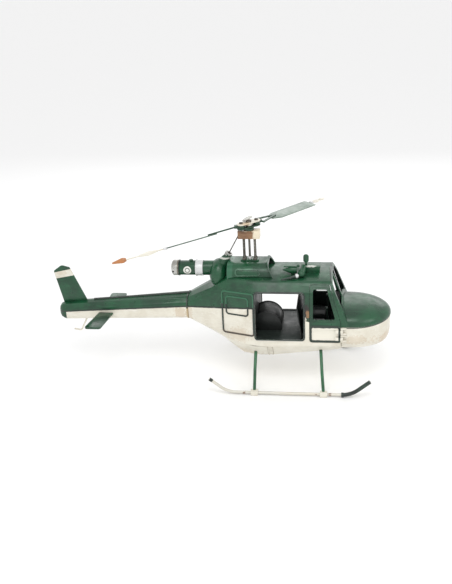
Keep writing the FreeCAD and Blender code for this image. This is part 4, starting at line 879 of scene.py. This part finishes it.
@dataclass
class EngineDeck:
    """Cowling, fairing, funnel and exhaust."""

    def dress(self) -> None:
        """Green tin with silver bands."""
        rear_edge = Slice(tone(40, 96, 68), "X", 10.0, 17.0, 0.8)
        # Painted shade: the cowling's inward faces are near black, for the dark inside of its mouth.
        plain("engine_cowling", dressed(Coat.GREEN, "cowling_enamel", rear_edge, Inside(DEEP_SHADE, 120.0)), 0.3)
        sorted_out("cowling_trim", self.trim, 0.25)
        neck = Slice(tone(196, 196, 188), "Z", 139.4, 141.2, 0.3)
        plain("fairing", dressed(Coat.GREEN, "fairing_enamel", neck), 0.25, 45.0)
        splash = Spot(tone(30, 70, 48), (11, -2, 144), (3, 3, 2.5), 1.0)
        sorted_out("funnel_and_stay", lambda middle: (
            ("funnel", dressed(Coat.SILVER, "funnel_paint", splash))
            if middle.z < 150 else ("stay_rod", Coat.STEEL.value)), 0.12)
        sorted_out("exhaust_tube", lambda middle: (
            "exhaust_barrel" if middle.z < 132 else "exhaust_bump", Coat.GREEN.value), 0.3)
        sorted_out("exhaust_bands", self.band, 0.2)
        # Painted shade: a dark spot stands for a hole in the side of the cap.
        hole = Spot(tone(20, 18, 16), (-50.6, -8.5, 126.0), (1.3, 5.0, 1.3), 0.1)
        stain = Slice(tone(120, 112, 98), "X", -46.2, -45.0, 0.5)
        plain("exhaust_cap", dressed(Coat.SILVER, "cap_paint", stain, hole), 0.25, 50.0)

    def trim(self, middle: Vector) -> tuple[str, Finish]:
        """Name and finish of the intake lip or of one side emboss."""
        # Painted highlights: the lip and the embosses get a lighter green and pale rubbed edges so that their
        # ridges look lit.
        if middle.x > 50:
            return "intake_lip", replace(Coat.GREEN.value, name="lip_painted_highlight", wear_and_highlight=0.95,
                                         body=tone(52, 98, 72),
                                         wear_and_highlight_colour=tone(190, 194, 184))
        return side(middle) + "_cowling_emboss", replace(Coat.GREEN.value, name="emboss_painted_highlight", wear_and_highlight=0.95,
                                                         body=tone(74, 118, 92),
                                                         wear_and_highlight_colour=tone(158, 172, 158))

    def band(self, middle: Vector) -> tuple[str, Finish]:
        """Name and finish of a band, the dark ring or a roundel."""
        if abs(middle.y) > 4:
            ring = Spot(tone(64, 78, 70), (-34.5, 0, 127.6), (3.3, 60, 3.3), 0.0)
            core = Spot(tone(234, 234, 228), (-34.5, 0, 127.6), (2.2, 60, 2.2), 0.0)
            return side(middle) + "_roundel", dressed(Coat.WHITE, "roundel_paint", ring, core)
        if middle.x > -30:
            return "exhaust_band", Coat.SILVER.value
        return "exhaust_ring", replace(Coat.LINE.value, name="ring_paint")


@dataclass
class Tail:
    """Boom, fin, tail planes, skeg and tail rotor."""

    def dress(self) -> None:
        """Two-coloured boom with a green fin."""
        seam = Stripe(INK, BELT_POINTS[0], BELT_POINTS[1], 0.7)
        plain("boom_lower", dressed(Coat.CREAM, "cream_boom", seam,
                                    Spot(TEA, (-44, -13, 78), (8, 8, 9), 1.4, 0.4)), 0.3)
        pale_foot = Slice(tone(226, 222, 206), "Z", 60.0, 72.0, 0.5)
        sorted_out("boom_upper_half", lambda middle: (
            ("boom_upper", dressed(Coat.GREEN, "green_boom", seam)) if middle.x > -175
            else ("boom_end_cap", dressed(Coat.GREEN, "green_end", pale_foot))), 0.3)
        plain("boom_trim", dressed(Coat.GREEN, "trim_enamel", Slice(tone(40, 52, 44), "Z", 84.0, 100.0, 0.3),
                                   Slice(tone(196, 176, 140), "Z", 60.0, 84.0, 0.3)), 0.2)
        sorted_out("fin_sheet", lambda middle: (
            "fin" if middle.z < 110 else "fin_cap", Coat.GREEN.value), 0.25)
        stain = Spot(TEA, (-182, 0, 120), (7, 3, 4), 1.2, 0.25)
        plain("fin_band", dressed(Coat.CREAM, "band_enamel", stain), 0.2)
        sorted_out("stabilisers", lambda middle: (side(middle) + "_tail_plane", Coat.GREEN.value), 0.25)
        plain("skeg", dressed(Coat.CREAM, "skeg_enamel"), 0.1)
        plain("tail_rotor_pin", Coat.STEEL.value, 0.12)
        sorted_out("tail_rotor", self.blade, 0.12)

    def blade(self, middle: Vector) -> tuple[str, Finish]:
        """Name and finish of the tail rotor's hub or of one blade."""
        if abs(middle.z - 106) < 4:
            return "tail_rotor_hub", Coat.SILVER.value
        ends = Slice(tone(222, 216, 200), "Z", 117.0, 130.0, 0.4)
        word = "upper" if middle.z > 106 else "lower"
        return f"tail_rotor_{word}_blade", dressed(Coat.GREEN, "tail_blade_enamel", ends,
                                                   Slice(tone(222, 216, 200), "Z", 80.0, 94.0, 0.4))


@dataclass
class Undercarriage:
    """Skids, sleeves, legs and saddles."""

    def dress(self) -> None:
        """Cream tubes with dark sleeves and green legs."""
        rust = [Spot(RUST, (x, y, 2.7), (2.2, 3.0, 2.0), 1.2, 0.8)
                for x in (124.0, 109.0, 30.0) for y in (-57, 57)]
        tube = dressed(Coat.CREAM, "tube_enamel", *rust)
        sorted_out("skid_tubes", lambda middle: (side(middle) + "_skid_tube",
                                                 replace(tube, body=tone(208, 206, 196), metallic=0.25)), 0.1)
        sorted_out("skid_toes", self.sleeve, 0.2)
        sorted_out("skid_legs", self.leg, 0.1)
        saddle = dressed(Coat.CREAM, "saddle_enamel", *rust)
        sorted_out("skid_saddles", lambda middle: (
            f"{side(middle)}_{'front' if middle.x > 80 else 'rear'}_saddle", saddle), 0.35)

    def sleeve(self, middle: Vector) -> tuple[str, Finish]:
        """Name and finish of a front sleeve, its collar or a rear tip."""
        if middle.x > 145:
            return side(middle) + "_front_sleeve", replace(
                Coat.LINE.value, name="sleeve_enamel", body=tone(34, 58, 46), wear_and_highlight_colour=tone(140, 130, 110))
        if middle.x > 100:
            return side(middle) + "_sleeve_collar", Coat.LINE.value
        return side(middle) + "_rear_tip", Coat.LINE.value

    def leg(self, middle: Vector) -> tuple[str, Finish]:
        """Name and finish of one leg."""
        word = "front" if middle.x > 80 else "rear"
        return f"{side(middle)}_{word}_leg", replace(Coat.GREEN.value, name="leg_enamel", wear_and_highlight=0.8,
                                                     body=tone(36, 100, 62), wear_and_highlight_colour=tone(178, 170, 140))


@dataclass
class Rotor:
    """Mast, head and the two folding blades."""

    collar_reach: dict[str, float] = field(default_factory=lambda: {"near": 101.0, "far": 128.0})

    def dress(self) -> None:
        """Bare steel mast, cream head plates, green forks and blades."""
        sorted_out("mast_supports", self.support, 0.12)
        cream_end = Slice(tone(226, 214, 190), "X", 40.0, 60.0, 1.2)
        plain("mast_block", dressed(Coat.BROWN, "block_paint", cream_end,
                                    Spot(tone(220, 204, 176), (36, 0, 172.6), (10, 6, 1.4), 1.3, 0.6)), 0.5)
        plain("rotor_shaft", Coat.STEEL.value, 0.08)
        disc = Slice(tone(24, 62, 44), "Z", 172.5, 178.0, 0.1)
        warm = Spot(tone(206, 176, 134), (33, -6, 180), (7, 6, 4), 1.2, 0.6)
        plain("hub_plates", dressed(Coat.CREAM, "hub_enamel", warm, disc), 0.25)
        sorted_out("hub_fasteners", self.fastener, 0.12)
        plain("hub_oval_plate", replace(Coat.SILVER.value, name="oval_paint", metallic=0.2,
                                        body=tone(206, 206, 196)), 0.2)
        for word in ("near", "far"):
            self.blade(word)

    def fastener(self, middle: Vector) -> tuple[str, Finish]:
        """Name and finish of the nut on the mast or of a hinge bolt."""
        if abs(middle.x - MAST_X) < 2:
            return "hub_nut", Coat.STEEL.value
        return "hub_bolt_" + ("rear" if middle.x < MAST_X else "front"), Coat.STEEL.value

    def support(self, middle: Vector) -> tuple[str, Finish]:
        """Name and finish of the foot plate, a post or the foot collar."""
        if middle.z < 138.9:
            return "mast_foot_plate", Coat.GREEN.value
        if middle.z < 142:
            return "mast_foot_collar", Coat.SILVER.value
        end = "rear" if middle.x < MAST_X else "front"
        return f"{side(middle)}_{end}_mast_post", Coat.STEEL.value

    def blade(self, word: str) -> None:
        """Dresses one blade with its fork, collar, leaf and tip."""
        near = word == "near"
        plain(word + "_grip", replace(Coat.GREEN.value, name="grip_enamel", wear_and_highlight=0.6), 0.2)
        # Painted sheen: both blades' greens are lightened to grey-green for the gloss along their faces.
        finish = Coat.GREEN.value if near else Coat.GREEN_SHEEN.value
        plain(word + "_blade", replace(finish, name=word + "_blade_enamel", wear_and_highlight=0.7,
                                       body=tone(92, 112, 96) if near else finish.body), 0.25)
        sorted_out(word + "_blade_end", lambda middle: (
            (word + "_collar", Coat.SILVER.value)
            if math.hypot(middle.x - MAST_X, middle.y) < self.collar_reach[word]
            else (word + "_leaf", Coat.CREAM.value)), 0.1)
        plain(word + "_blade_tip", Coat.ORANGE.value if near else Coat.CREAM.value, 0.12)


@dataclass
class RoofFittings:
    """Horn, box, paddle, elbow and pitot tube."""

    def dress(self) -> None:
        """Green fittings with rubbed edges and bare metal ends."""
        rubbed = replace(Coat.GREEN.value, name="fitting_enamel", wear_and_highlight=0.7)
        plain("roof_elbow", rubbed, 0.2, 50.0)
        plain("roof_paddle", rubbed, 0.25)
        sorted_out("horn", lambda middle: ("horn_body" if middle.z < 132 else "horn_bar", rubbed), 0.2)
        rubbed_lid = Spot(tone(196, 198, 190), (102, -7, 133), (7, 3, 1.5), 0.9)
        sorted_out("junction_box", lambda middle: (
            ("box_body", rubbed) if middle.z < 131.5 else
            ("box_lid", dressed(Coat.GREEN, "lid_enamel", rubbed_lid))), 0.25)
        sorted_out("pitot", lambda middle: (
            ("pitot_tube", Coat.LINE.value) if middle.x < 82 else ("pitot_ball", Coat.SILVER.value)), 0.12)


@dataclass
class Studio:
    """Pale floor, soft light and the camera."""

    azimuth: float = 9.03
    elevation: float = 24.36
    roll: float = 3.10
    distance: float = 0.950
    lens: float = 52.1
    target: tuple[float, float, float] = (6.26, 0.0, 97.98)

    def build(self) -> None:
        """Puts up the floor, the lights and the camera."""
        self.floor()
        self.world()
        self.light("key_light", (60, -420, 700), (500, 320), 1.5)
        self.light("fill_light", (560, -380, 380), (260, 300), 0.5)
        self.light("back_light", (40, 760, 430), (1100, 300), 1.2)
        self.camera()
        bpy.context.scene.view_settings.view_transform = "Standard"

    def floor(self) -> None:
        """A wide pale floor."""
        shape = bmesh.new()
        bmesh.ops.create_grid(shape, x_segments=4, y_segments=4, size=60.0)
        mesh = bpy.data.meshes.new("floor")
        shape.to_mesh(mesh)
        shape.free()
        made = bpy.data.materials.new("pale_floor")
        made.use_nodes = True
        shader = made.node_tree.nodes["Principled BSDF"]
        shader.inputs["Base Color"].default_value = (0.97, 0.97, 0.97, 1.0)
        shader.inputs["Roughness"].default_value = 0.8
        mesh.materials.append(made)
        ground = bpy.data.objects.new("floor", mesh)
        bpy.context.scene.collection.objects.link(ground)

    def world(self) -> None:
        """Even white surroundings."""
        made = bpy.data.worlds.new("studio")
        bpy.context.scene.world = made
        made.use_nodes = True
        made.node_tree.nodes["Background"].inputs["Color"].default_value = (1.0, 1.0, 1.0, 1.0)
        made.node_tree.nodes["Background"].inputs["Strength"].default_value = 0.92

    def light(self, name: str, place: tuple[float, float, float], size: tuple[float, float],
              power: float) -> None:
        """One soft box turned to the toy.

        Args:
            name: the lamp's name.
            place: where it hangs, in the cabin's millimetres.
            size: its width and height in millimetres.
            power: its power in watts.
        """
        data = bpy.data.lights.new(name, "AREA")
        data.shape = "RECTANGLE"
        data.size = size[0] * MM
        data.size_y = size[1] * MM
        data.energy = power
        lamp = bpy.data.objects.new(name, data)
        bpy.context.scene.collection.objects.link(lamp)
        lamp.location = at(*place)
        lamp.rotation_mode = "QUATERNION"
        lamp.rotation_quaternion = (at(30, 0, 90) - lamp.location).to_track_quat("-Z", "Y")

    def camera(self) -> None:
        """Camera a little above the right side, leaning slightly."""
        turn, rise = math.radians(self.azimuth), math.radians(self.elevation)
        back = Vector((math.sin(turn) * math.cos(rise), -math.cos(turn) * math.cos(rise), math.sin(rise)))
        right = Vector((math.cos(turn), math.sin(turn), 0.0))
        up = back.cross(right)
        lean = math.radians(self.roll)
        across = right * math.cos(lean) - up * math.sin(lean)
        upward = right * math.sin(lean) + up * math.cos(lean)
        data = bpy.data.cameras.new("camera")
        data.lens = self.lens
        data.sensor_width = 36.0
        data.clip_start = 0.01
        eye = bpy.data.objects.new("camera", data)
        bpy.context.scene.collection.objects.link(eye)
        spot = at(*self.target) + back * self.distance
        eye.matrix_world = Matrix((across, upward, back)).transposed().to_4x4()
        eye.location = spot
        bpy.context.scene.camera = eye


def main() -> None:
    """Builds and dresses every sub-assembly in order."""
    logging.basicConfig(level=logging.INFO)
    for section in (Fuselage(), Doors(), Interior(), EngineDeck(), Tail(), Undercarriage(), Rotor(),
                    RoofFittings()):
        LOG.info("sub-assembly %s", type(section).__name__)
        section.dress()
    Studio().build()
    bpy.context.view_layer.update()


if __name__ == "__main__":
    main()
